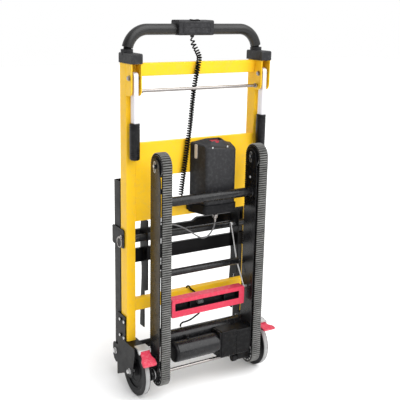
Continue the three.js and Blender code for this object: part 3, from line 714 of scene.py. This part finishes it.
def make_arm(name, side):
    """The bright arm's finish, its grooved grip and its pivot bolt."""
    dress(f"swing_arm_{name}", ALUMINIUM, 2.2, 3)
    low, high = low_high(f"arm_grip_{name}")
    radius = (high.x - low.x) / 2
    centre = (side * ARM_X, ARM_PIVOT[0])
    bm = bmesh.new()
    profile = [(0, low.z)] + arc(radius - 7, low.z + 7, 7, -90, 0, 8)
    for z in (low.z + 14, low.z + 20, low.z + 26, high.z - 18, high.z - 12):
        profile += [(radius, z), (radius - 0.9, z + 0.8), (radius - 0.9, z + 1.8), (radius, z + 2.6)]
    profile += [(radius, high.z - 2), (radius - 0.6, high.z - 0.6), (radius - 2, high.z), (0, high.z)]
    lathe(bm, "z", centre, profile, 56)
    piece(f"arm_sleeve_{name}", bm, GRIP, f"arm_{name}", [f"arm_grip_{name}"])
    bm = bmesh.new()
    bolt_low, bolt_high = low_high(f"arm_bolt_{name}")
    inner, outer = sorted((abs(bolt_low.x), abs(bolt_high.x)))
    drum(bm, "x", ARM_PIVOT, side * (inner + 1), side * (outer - 1), 5, 0.5, 24)
    hex_head(bm, "x", ARM_PIVOT, side * 267, side * outer, 12.5)
    hex_head(bm, "x", ARM_PIVOT, side * 229.5, side * inner, 12.5)
    piece(f"arm_pivot_bolt_{name}", bm, CHROME, "frame", [f"arm_bolt_{name}"])


for name, side in SIDES:
    make_arm(name, side)


def make_cross_rod():
    """The bright rod between the arm brackets, with a collar at each end."""
    left, right, centre, radius = bar_of("cross_rod")
    bm = bmesh.new()
    drum(bm, "x", centre, left, right, radius, 0.6, 40)
    for side in (-1, 1):
        corners = ((5, 218), (7.6, 218.6), (7.6, 224), (5, 224.6))
        lathe(bm, "x", centre, [(r, side * x) for r, x in corners], 32, True)
    piece("cross_rod_bar", bm, CHROME, "frame", ["cross_rod"])


make_cross_rod()


# ---- battery ----
BATTERY_FRONT = (-26, 139)
BATTERY_REAR = (-6, 119)
BATTERY_Y = (-72, -0.6)
BATTERY_Z = (636, 888)
BATTERY_EDGE = 7.0
BUTTON_AT = (46, -38)
DISH_RADIUS = 27.5
DISH_DEPTH = 18
CATCH_HEIGHTS = (822, 871)


def battery_outline(inset=0.0, radius=14.0, count=8):
    """The case seen from above: flat at the front, narrower and rounded at the rear."""
    rear = BATTERY_Y[0] + inset
    right = arc(BATTERY_REAR[1] - inset - radius, rear + radius, radius, 0, -90, count)
    left = arc(BATTERY_REAR[0] + inset + radius, rear + radius, radius, 270, 180, count)
    front = [(BATTERY_FRONT[0] + inset, BATTERY_Y[1]), (BATTERY_FRONT[1] - inset, BATTERY_Y[1])]
    return front + right + left


def battery_top(x, y):
    """The pillow-shaped roof's height at a point: level in the middle, falling away to the edges."""
    fall_rear = max(0.0, (-40 - y) / 32)
    left = BATTERY_FRONT[0] + (BATTERY_REAR[0] - BATTERY_FRONT[0]) * (y / BATTERY_Y[0])
    right = BATTERY_FRONT[1] + (BATTERY_REAR[1] - BATTERY_FRONT[1]) * (y / BATTERY_Y[0])
    fall_left = max(0.0, 1 - (x - left) / 28)
    fall_right = max(0.0, 1 - (right - x) / 62)
    return BATTERY_Z[1] - 18 * fall_rear ** 1.6 - 12 * fall_left ** 2 - 24 * fall_right ** 2.2


def towards_button(u, v, radius, share=1.0):
    """A point moved a share of the way to the circle of that radius round the button."""
    du, dv = u - BUTTON_AT[0], v - BUTTON_AT[1]
    s = 1 + (radius / math.hypot(du, dv) - 1) * share
    return BUTTON_AT[0] + du * s, BUTTON_AT[1] + dv * s


def make_battery():
    """A lofted case: eased foot, straight wall, rounded shoulder, pillow roof and the button's dish."""
    low, high = BATTERY_Z
    wall = battery_outline()
    rim = battery_outline(BATTERY_EDGE)
    foot = ((low, 3.0), (low + 1, 1.2), (low + 3, 0.0))
    rings = [[(u, v, z) for u, v in battery_outline(inset)] for z, inset in foot]
    for step in range(6):
        turn = math.radians(step * 18)
        outline = battery_outline(BATTERY_EDGE * (1 - math.cos(turn)))
        rise = BATTERY_EDGE * (math.sin(turn) - 1)
        rings.append([(u, v, battery_top(*below) + rise) for (u, v), below in zip(outline, wall)])
    for share in (0.2, 0.4, 0.6, 0.8):
        ring = []
        for point, below in zip(rim, wall):
            spot = towards_button(*point, DISH_RADIUS, share)
            edge_height = battery_top(*below)
            ring.append((*spot, edge_height + (battery_top(*spot) - edge_height) * share))
        rings.append(ring)
    for depth, shrink in ((0, 0), (2, 1.2)):
        ring = [towards_button(*point, DISH_RADIUS - shrink) for point in rim]
        rings.append([(*spot, battery_top(*spot) - depth) for spot in ring])
    rings.append([(*towards_button(*point, DISH_RADIUS - 2.2), high - DISH_DEPTH) for point in rim])
    bm = bmesh.new()
    loft(bm, [[at(*point) for point in ring] for ring in rings])
    piece("battery_shell", bm, PLASTIC, "battery", ["battery_case"])
    bm = bmesh.new()
    for x in (20, 79):
        cap_screw(bm, "y", (x, 863), -71.4, -73.4, 3.4)
    piece("battery_screws", bm, ZINC, "battery", ())


def make_battery_catch():
    """The cream strip on the case's slanting left wall."""
    lean = Vector((BATTERY_REAR[0] - BATTERY_FRONT[0], BATTERY_Y[0] - BATTERY_Y[1], 0)).normalized()
    out = Vector((lean.y, -lean.x, 0))
    middle = Vector((BATTERY_FRONT[0], BATTERY_Y[1], 0)) + lean * 27
    strip = [middle + lean * u + Vector((0, 0, z)) for u, z in rounded(-6, 6, *CATCH_HEIGHTS, 4, 5)]
    bm = bmesh.new()
    loft(bm, [[at(*(point + out * w)) for point in strip] for w in (-1, 1.2)])
    piece("battery_catch", bm, CREAM, "battery", (), 0.5)


make_battery()
make_battery_catch()
dress("battery_button", RED_PLASTIC, 1.0, 3)
dress("battery_holder", DARK_PLASTIC, 1.5)


OUTLET = (56, -40)


def make_outlet():
    """The bright gland and nut that the battery's lead comes out of."""
    bm = bmesh.new()
    lathe(bm, "z", OUTLET, [
        (0, 592), (3.6, 592), (4.4, 596), (4.4, 604), (8, 605.6), (8.6, 607), (8.6, 613), (0, 613),
    ], 32)
    hex_head(bm, "z", OUTLET, 613, 620, 17, False)
    piece("cable_gland", bm, CHROME, "frame", (), 0.3)


make_outlet()

# ---- wheels ----
WHEEL = (-29, 90)
AXLE_RADIUS = 6
FORK_SCREWS = ((42, 260), (10, 260), (42, 200), (10, 200))


def make_wheel(name, side):
    """A tyre with a lighter tread band, a dished black centre, and the axle bolt with its nuts."""
    low, high = low_high(f"tyre_{name}")
    centre_x = abs(low.x + high.x) / 2
    radius = (high.z - low.z) / 2

    def turned(half, count):
        whole = half + [(r, -offset) for r, offset in reversed(half)]
        bm = bmesh.new()
        lathe(bm, "x", WHEEL, [(r, side * (centre_x + offset)) for r, offset in whole], count, True)
        return bm

    shoulder = [(70, -9.6), (73, -10.8), (80, -11), (86.5, -10.9), (88.9, -10.0), (89.2, -8.0), (88.6, -7.8)]
    body = f"wheel_{name}"
    piece(f"wheel_tyre_{name}", turned(shoulder, 128), TYRE, body, [f"tyre_{name}"])
    band = [(80, -7.6), (radius - 0.5, -7.6), (radius - 0.1, -7.0)]
    piece(f"wheel_tread_{name}", turned(band, 128), TYRE_TREAD, body, ())
    face = [
        (6.5, 11), (11, 11), (12, 10.2), (19, 10.2), (20, 9.4), (22.5, 5.2), (27, 5), (38, 5), (39, 6.4),
        (43, 6.4), (44, 5), (57, 5), (60.5, 5.6), (62, 9.2), (64, 9.8), (71.6, 9.8),
    ]
    centre = turned(face, 96)
    piece(f"wheel_centre_{name}", centre, DARK_PLASTIC, body, [f"wheel_hub_{name}"])
    bm = bmesh.new()
    drum(bm, "x", WHEEL, side * 219, side * 280, AXLE_RADIUS, 0.8, 32)
    hex_head(bm, "x", WHEEL, side * 272.2, side * 278, 14)
    lathe(bm, "x", WHEEL, [(7.4, side * 276), (7.4, side * 280), (5, side * 282.4), (0, side * 283)], 24)
    hex_head(bm, "x", WHEEL, side * 223.4, side * 219, 16, False)
    piece(f"axle_bolt_{name}", bm, ZINC, "frame", [f"axle_{name}"])


def make_fork_bolts(name, side):
    """The fork's finish, its four screws and the platform's pivot bolt."""
    dress(f"fork_{name}", BLACK, 0.8)
    bm = bmesh.new()
    for spot in FORK_SCREWS:
        cap_screw(bm, "x", spot, side * 275.6, side * 278.2, 5.4)
    centre = bar_of(f"platform_bolt_{name}")[2]
    piece(f"fork_screws_{name}", bm, ZINC, "frame", ())
    bm = bmesh.new()
    drum(bm, "x", centre, side * 259, side * 272, 5, 0.5, 24)
    hex_head(bm, "x", centre, side * 272.2, side * 280, 16)
    piece(f"platform_pivot_bolt_{name}", bm, ZINC, "frame", [f"platform_bolt_{name}"])


# ---- brakes ----
BRAKE_PIVOT = (-86, 181)
BRAKE_DOWN = 38
BRAKE_SIDES = (225.4, 260.6)


def make_brake(name, side):
    """A stamped foot pedal with raised grip bars; the left one is pressed, the right one is up."""
    near, far = BRAKE_SIDES
    wide = 8
    paddle = [(near, 0), (near, -20)]
    paddle += [(near - wide, -34), (near - wide, -50)] + arc(near - wide + 6, -50, 6, 180, 270, 5)
    paddle += arc(far + wide - 6, -50, 6, 270, 360, 5) + [(far + wide, -34), (far, -20), (far, 0)]
    bm = bmesh.new()
    drop = math.radians(BRAKE_DOWN if side < 0 else 0)
    pivot = at(0, *BRAKE_PIVOT)

    def slab(outline, z0, z1):
        loft(bm, [[pivot + Vector((side * u, v, w)) * 0.001 for u, v in outline] for w in (z0, z1)])

    slab(paddle, -3.5, 2.4)
    for y in (-30, -38, -46):
        slab(rounded(near - 2, far + 2, y - 1.8, y + 1.8, 1.6, 3), 1.5, 3.5)
    for u in (near - wide + 1.2, far + wide - 3.2):
        slab([(u, -52), (u + 2, -52), (u + 2, -33), (u, -33)], 1.5, 3.5)
    drum(bm, "x", BRAKE_PIVOT, side * near, side * far, 5.5, 0.6, 28)
    turn = Matrix.Translation(pivot) @ Matrix.Rotation(drop, 4, "X") @ Matrix.Translation(-pivot)
    bmesh.ops.transform(bm, matrix=turn, verts=bm.verts)
    piece(f"foot_brake_{name}", bm, RED, f"brake_{name}", [f"brake_pedal_{name}"], 0.7)
    dress(f"brake_plate_{name}", ZINC, 0.6)
    bm = bmesh.new()
    for start, end in ((221.4, 225.2), (260.8, 264.8)):
        drum(bm, "x", BRAKE_PIVOT, side * start, side * end, 5, 0.6, 20)
    piece(f"brake_pin_{name}", bm, ZINC, "frame", ())


for make in (make_wheel, make_fork_bolts, make_brake):
    for name, side in SIDES:
        make(name, side)

# ---- crawler unit ----
TRACK_Y = -94
TRACK_LOW = 94
TRACK_HIGH = 825
RIB_PITCH = 8.0
BELT_INNER = 37.2
BELT_OUTER = 41.4
BELT_SIDES = (169.7, 204.3)
PLATE_SIDES = ((165, 168.5), (205.5, 209))
# where the light rings stand that paint the highlight on the track plates' rounded rims
HIGHLIGHT_RING_PLACES = (171.4, 202.6)
SPACER_HEIGHTS = (250, 480, 740)
SHAFT_RADIUS = 6


def track_line(radius, count):
    """The belt's closed line: up the front, over the top and down the rear."""
    top = arc(TRACK_Y, TRACK_HIGH, radius, 0, 180, count)
    return top + arc(TRACK_Y, TRACK_LOW, radius, 180, 360, count)


def belt_stations(radius):
    """Evenly spaced (point, outward direction) pairs round the belt."""
    straight = TRACK_HIGH - TRACK_LOW
    around = 2 * straight + math.tau * radius
    count = round(around / RIB_PITCH)
    for i in range(count):
        s = around * i / count
        if s < straight:
            yield (TRACK_Y + radius, TRACK_LOW + s), 0.0
            continue
        s -= straight
        if s < math.pi * radius:
            a = s / radius
            yield (TRACK_Y + radius * math.cos(a), TRACK_HIGH + radius * math.sin(a)), a
            continue
        s -= math.pi * radius
        if s < straight:
            yield (TRACK_Y - radius, TRACK_HIGH - s), math.pi
            continue
        a = math.pi + (s - straight) / radius
        yield (TRACK_Y + radius * math.cos(a), TRACK_LOW + radius * math.sin(a)), a


def make_belt(name, side):
    """A moulded band with close transverse ribs, rounded over at both sides."""
    x0, x1 = BELT_SIDES
    bm = bmesh.new()
    band = track_line(BELT_OUTER, 24), track_line(BELT_INNER, 24)
    pipe(bm, "x", *band, *sorted((side * x0, side * x1)))
    piece(f"belt_band_{name}", bm, BELT, "crawler", [f"track_belt_{name}"], 0.6, 2)
    rib = [(-2.4, -0.5), (-1.9, 2.6), (-1.2, 3.4), (1.2, 3.4), (1.9, 2.6), (2.4, -0.5)]
    rows = ((x0 + 0.2, 0.62), (x0 + 2.2, 1.0), (x1 - 2.2, 1.0), (x1 - 0.2, 0.62))
    bm = bmesh.new()
    for (y, z), a in belt_stations(BELT_OUTER):
        out = Vector((0, math.cos(a), math.sin(a)))
        along = Vector((0, -out.z, out.y))
        loft(bm, [
            [at(*(Vector((side * x, y, z)) + along * u + out * v * high)) for u, v in rib] for x, high in rows
        ])
    # the ribs take the lighter grey that paints their highlight
    piece(f"belt_ribs_{name}", bm, TREAD, "crawler", ())


def plate_outline(radius, end_radius, lean, count=20):
    """A track plate: straight sides, with smaller rounded ends set a little to the front."""
    top = arc(TRACK_Y + lean, TRACK_HIGH - 2, end_radius, 0, 180, count)
    low = arc(TRACK_Y + lean, TRACK_LOW + 2, end_radius, 180, 360, count)
    front, rear = TRACK_Y + radius, TRACK_Y - radius
    return (
        [(front, TRACK_HIGH - 30)] + top + [(rear, TRACK_HIGH - 48), (rear, TRACK_LOW + 48)]
        + low + [(front, TRACK_LOW + 30)]
    )


def make_track_frame(name, side):
    """The two track plates with their spacers, axle bosses, slotted adjusters and screws."""
    outline = plate_outline(34, 29, 4)
    bm = bmesh.new()
    for x0, x1 in PLATE_SIDES:
        prism(bm, "x", outline, *sorted((side * x0, side * x1)))
    piece(f"track_plates_{name}", bm, GLOSS, "crawler", [f"track_frame_{name}"], 1.3, 4)
    bm = bmesh.new()
    for z in SPACER_HEIGHTS:
        drum(bm, "x", (TRACK_Y, z), side * 168, side * 206, 9, 0.5, 24)
    drum(bm, "x", (TRACK_Y, TRACK_HIGH), side * 161, side * 213, 7, 0.8, 28)
    boss = ((7.6, 208), (19, 208), (19, 216), (17, 217), (17, 220), (16, 221), (7.6, 221))
    lathe(bm, "x", (TRACK_Y, TRACK_LOW), [(radius, side * x) for radius, x in boss], 48, True)
    piece(f"track_axle_bosses_{name}", bm, DARK_PLASTIC, "crawler", ())
    bm = bmesh.new()
    for radius, x in ((18.6, 214), (13, 220.6)):
        corners = ((-2.4, -1), (0.9, -1), (0.9, 1), (-2.4, 1))
        lathe(bm, "x", (TRACK_Y, TRACK_LOW), [(radius + r, side * (x + w)) for r, w in corners], 48, True)
    slot = rounded(TRACK_Y - 1, TRACK_Y + 11, 804, 842, 5.5, 6)
    hole = rounded(TRACK_Y + 1.5, TRACK_Y + 8.5, 806.5, 839.5, 3.4, 6)
    for x0, x1 in ((209, 210), (164, 165)):
        pipe(bm, "x", slot, hole, *sorted((side * x0, side * x1)))
    cap_screw(bm, "x", (TRACK_Y + 4, 752), side * 165, side * 161.6, 4.6)
    for start, end in ((209, 214), (165, 160.5)):
        hex_head(bm, "x", (TRACK_Y + 5, 826), side * start, side * end, 9, False)
    piece(f"track_fasteners_{name}", bm, ZINC, "crawler", ())


def make_highlight_rings(name, side):
    """Light rings that show past the rounded ends of the track plates: painted highlight, standing in for the
    bright reflection on the glossy plates' rims.
    """
    for z, body, label in ((TRACK_HIGH, f"idler_wheel_{name}", "idler"), (TRACK_LOW, "drive", "sprocket")):
        bm = bmesh.new()
        for x in HIGHLIGHT_RING_PLACES:
            corners = ((12, -1.2), (36.6, -1.2), (36.9, 0), (36.6, 1.2), (12, 1.2))
            lathe(bm, "x", (TRACK_Y, z), [(radius, side * (x + w)) for radius, w in corners], 72, True)
        # light zinc rings as painted highlight at the plate ends
        piece(f"{label}_highlight_rings_{name}", bm, ZINC, body, ())


for name, side in SIDES:
    make_belt(name, side)
    make_track_frame(name, side)
    # painted highlight rings at both ends of each track
    make_highlight_rings(name, side)
    dress(f"drive_sprocket_{name}", DARK_PLASTIC, 0.5)
    dress(f"idler_{name}", DARK_PLASTIC, 0.5)


def make_cross_tubes():
    """The two tubes between the tracks with a weld bead at each end, and the drive shaft."""
    for node, weld in (("upper_cross_tube", 3.0), ("lower_cross_tube", 3.5)):
        left, right, centre, radius = bar_of(node)
        bm = bmesh.new()
        drum(bm, "x", centre, left, right, radius, 0.4, 72)
        for side in (-1, 1):
            x = side * right
            lathe(bm, "x", centre, [
                (radius - 1, x), (radius + weld, x), (radius + weld * 0.6, x - side * weld * 0.6),
                (radius, x - side * weld), (radius - 1, x - side * weld),
            ], 72, True)
        piece(f"{node}_bar", bm, GLOSS, "crawler", [node])
    left, right = bar_of("drive_shaft")[:2]
    bm = bmesh.new()
    drum(bm, "x", (TRACK_Y, TRACK_LOW), left, right, SHAFT_RADIUS, 0.8, 40)
    for x in (-160, 96):
        drum(bm, "x", (TRACK_Y, TRACK_LOW), x - 2, x + 2, 8.4, 0.6, 32)
    piece("drive_shaft_bar", bm, CHROME, "drive", ["drive_shaft"])


make_cross_tubes()

# ---- motor and gearbox ----
MOTOR = (-98, 160)
GEARBOX_LEFT = 34
GEARBOX_TOP = 208
GEARBOX_SPLIT = 104


def make_motor():
    """The motor's barrel, end cap, end screws and cable gland."""
    right = GEARBOX_LEFT - 0.4
    bm = bmesh.new()
    lathe(bm, "x", MOTOR, [
        (0, -131.5), (34, -131.5), (35.6, -130), (36, -128), (36, right - 6), (35.2, right - 5),
        (35.2, right), (0, right),
    ], 96)
    piece("motor_body", bm, GLOSS, "crawler", ["gearmotor"])
    bm = bmesh.new()
    lathe(bm, "x", MOTOR, [
        (0, -142), (25, -142), (30, -141), (34, -139), (35.2, -136.5), (35.2, -133), (34, -132.4),
        (34, -130), (0, -130),
    ], 72)
    piece("motor_end_cap", bm, DARK_PLASTIC, "crawler", ())
    bm = bmesh.new()
    for spot in arc(*MOTOR, 24, 45, 315, 3):
        cap_screw(bm, "x", spot, -141.4, -143.4, 3)
    piece("motor_screws", bm, DARK_PLASTIC, "crawler", ())
    bm = bmesh.new()
    lathe(bm, "z", (-74, -84), [(0, 190), (7, 190), (7, 197), (5.4, 199), (5.4, 204), (0, 205)], 28)
    piece("motor_gland", bm, DARK_PLASTIC, "crawler", (), 0.4)


def make_gearbox():
    """The gearbox: a housing in slices round its split line, the shaft's boss, and screws."""
    right = low_high("gearbox")[1].x
    top, split = GEARBOX_TOP, GEARBOX_SPLIT
    bm = bmesh.new()
    for y0, y1, z0, z1, radius, x0, x1 in (
        (-128, -73, 109, top - 2, 7, GEARBOX_LEFT, GEARBOX_LEFT + 9),
        (-130, -72, 107, top, 6, GEARBOX_LEFT + 8, split - 0.7),
        (-129, -73, 108, top - 1, 6, split - 2, split + 2),
        (-130, -72, 107, top - 5, 6, split + 0.7, right),
        (-114, -74, 74, 112, 7, 122, right),
    ):
        prism(bm, "x", rounded(y0, y1, z0, z1, radius, 5), x0, x1)
    piece("gearbox_housing", bm, BLACK, "crawler", ["gearbox"], 1.4, 3)
    bm = bmesh.new()
    drum(bm, "x", (-100, 82), 104, 123, 14, 3, 48)
    drum(bm, "x", (TRACK_Y, TRACK_LOW), 101, 108, 9, 1, 36)
    piece("gearbox_boss", bm, DARK_PLASTIC, "crawler", ())
    bm = bmesh.new()
    for y in (-121, -81):
        for z in (118, top - 11):
            cap_screw(bm, "x", (y, z), GEARBOX_LEFT + 1, GEARBOX_LEFT - 1.6, 4)
    for x in (GEARBOX_LEFT + 20, split - 12, split + 14, right - 12):
        cap_screw(bm, "y", (x, top - 16), -129.6, -131.4, 3.2)
        cap_screw(bm, "y", (x, 118), -129.6, -131.4, 3.2)
    drum(bm, "z", (GEARBOX_LEFT + 6, -98), top - 4, top + 0.6, 4.5, 0.6, 24)
    piece("gearbox_screws", bm, DARK_PLASTIC, "crawler", ())


make_motor()
make_gearbox()

# ---- foot release ----
PEDAL_PIVOT = (-92, 350)
PEDAL_HALF = 148
SPREADER = (-42, 431)
ROD_TOP = (3, 559)
ROD_X = 153
ROD_RADIUS = 2.4


def spring_points(start, end, radius, turns, per_turn=16):
    """Points on a coil between two points; radius in mm."""
    axis = (end - start).normalized()
    side = axis.orthogonal().normalized()
    other = axis.cross(side)
    points = []
    for i in range(turns * per_turn + 1):
        a = i * math.tau / per_turn
        around = side * math.cos(a) + other * math.sin(a)
        points.append(start.lerp(end, i / (turns * per_turn)) + around * radius * 0.001)
    return points


def make_pedal():
    """A folded red tread plate round a dark insert, with its return spring in the middle."""
    z = PEDAL_PIVOT[1]
    rear, front = PEDAL_PIVOT[0] - 12, PEDAL_PIVOT[0] + 22
    outer = rounded(-PEDAL_HALF, PEDAL_HALF, z - 60, z + 6, 5, 5)
    window = rounded(-PEDAL_HALF + 13, PEDAL_HALF - 22, z - 37, z - 9, 3, 5)
    lip = rounded(-PEDAL_HALF + 3, PEDAL_HALF - 3, z - 57, z + 3, 3, 5)
    bm = bmesh.new()
    pipe(bm, "y", outer, window, rear, rear + 3)
    pipe(bm, "y", outer, lip, rear + 2, front)
    piece("pedal_tread", bm, RED, "release", ["release_pedal"], 1.0, 3)
    bm = bmesh.new()
    inner = rounded(-PEDAL_HALF + 10, PEDAL_HALF - 19, z - 40, z - 6, 4, 5)
    pipe(bm, "y", inner, window, rear + 3, front - 8)
    prism(bm, "y", inner, front - 11, front - 8)
    for x in (-70, 70):
        block(bm, x - 1.5, x + 1.5, rear + 9, front - 10, z - 38, z - 8)
    piece("pedal_insert", bm, DARK_PLASTIC, "release", (), 0.6)
    bm = bmesh.new()
    start, end = at(-40, rear + 14, z - 23), at(-18, rear + 14, z - 23)
    tube(bm, spring_points(start, end, 8, 5), 1.2, 8)
    piece("pedal_spring", bm, CABLE_GREY, "release", ())
    bm = bmesh.new()
    for side in (-1, 1):
        drum(bm, "x", PEDAL_PIVOT, side * (PEDAL_HALF - 1), side * 164, 5, 0.6, 24)
        hex_head(bm, "x", PEDAL_PIVOT, side * (PEDAL_HALF + 0.4), side * (PEDAL_HALF + 4), 13, False)
    piece("pedal_fittings", bm, ZINC, "release", ())


def make_linkage():
    """The bright pull rods, their joints, and the black spreader tube between them."""
    bm = bmesh.new()
    drum(bm, "x", SPREADER, -ROD_X - 5, ROD_X + 5, 12.5, 1.0, 56)
    piece("spreader_tube", bm, GLOSS, "release", ["latch_linkage"])
    bm = bmesh.new()
    for side in (-1, 1):
        x = side * ROD_X
        for end in (PEDAL_PIVOT, ROD_TOP):
            tube(bm, [at(x, *SPREADER), at(x, *end)], ROD_RADIUS, 20)
        hex_head(bm, "x", SPREADER, side * (ROD_X + 4.5), side * (ROD_X + 9), 13)
        for centre in (PEDAL_PIVOT, ROD_TOP):
            drum(bm, "x", centre, x - 3.8, x + 3.8, 5.6, 0.8, 24)
    piece("pull_rods", bm, ZINC, "release", ())


make_pedal()
make_linkage()

# ---- platform and lock pin ----
dress("platform_frame", BLACK, 0.8)
LATCH = (31, 563)
RING_RADIUS = 17


def make_lock_pin():
    """The lock pin with its collar and pull ring."""
    bm = bmesh.new()
    drum(bm, "x", LATCH, -267, -281.4, 4, 0.6, 28)
    drum(bm, "x", LATCH, -271.8, -274.4, 7, 0.6, 32)
    x = low_high("lock_pin")[0].x + 2
    loop = [at(x, y, z) for y, z in arc(LATCH[0], LATCH[1] - RING_RADIUS, RING_RADIUS, 90, 450, 48)]
    tube(bm, loop, 1.9, 14)
    piece("pin_with_ring", bm, CHROME, "pin", ["lock_pin"])


make_lock_pin()


# ---- stage ----
FLOOR_HALF = 12000
SKY_LEAN = (0.50, 0.80, 0.33)
SKY_LEVELS = {"From Min": -0.35, "From Max": 0.45, "To Min": 0.22, "To Max": 1.0}
KEY_DIRECTION = (0.22, -0.66, 0.72)
KEY_STRENGTH = 3.9
KEY_ANGLE = 75


def make_stage():
    """A plain pale floor."""
    t = Tree("floor_paint")
    tone = t.mixed(t.noise(2, 3), (0.90, 0.90, 0.90), (0.93, 0.93, 0.93))
    paint = t.finish(tone, t.ranged(t.noise(5), 0, 1, 0.7, 0.9))
    bm = bmesh.new()
    block(bm, -FLOOR_HALF, FLOOR_HALF, -FLOOR_HALF, FLOOR_HALF, -20, 0)
    floor = mesh_object("floor", bm, paint)


def light_sky(tree):
    """White on the front and overhead, dimmer towards the rear and the left."""
    background = tree.nodes["Background"]
    background.inputs["Color"].default_value = (1, 1, 1, 1)
    place = tree.nodes.new("ShaderNodeTexCoord")
    lean = tree.nodes.new("ShaderNodeVectorMath")
    lean.operation = "DOT_PRODUCT"
    lean.inputs[1].default_value = SKY_LEAN
    level = tree.nodes.new("ShaderNodeMapRange")
    for key, value in SKY_LEVELS.items():
        level.inputs[key].default_value = value
    tree.links.new(place.outputs["Generated"], lean.inputs[0])
    tree.links.new(lean.outputs["Value"], level.inputs["Value"])
    tree.links.new(level.outputs[0], background.inputs["Strength"])


def soft_sun(name, direction, strength, angle):
    """A sun as wide as a large softbox, so that its shadows fade out."""
    data = bpy.data.lights.new(name, "SUN")
    data.energy = strength
    data.angle = math.radians(angle)
    light = bpy.data.objects.new(name, data)
    bpy.context.scene.collection.objects.link(light)
    light.rotation_mode = "QUATERNION"
    light.rotation_quaternion = Vector(direction).to_track_quat("Z", "Y")


make_stage()
world = bpy.data.worlds.new("studio")
world.use_nodes = True
light_sky(world.node_tree)
bpy.context.scene.world = world
soft_sun("key", KEY_DIRECTION, KEY_STRENGTH, KEY_ANGLE)
bpy.context.scene.view_settings.view_transform = "Standard"
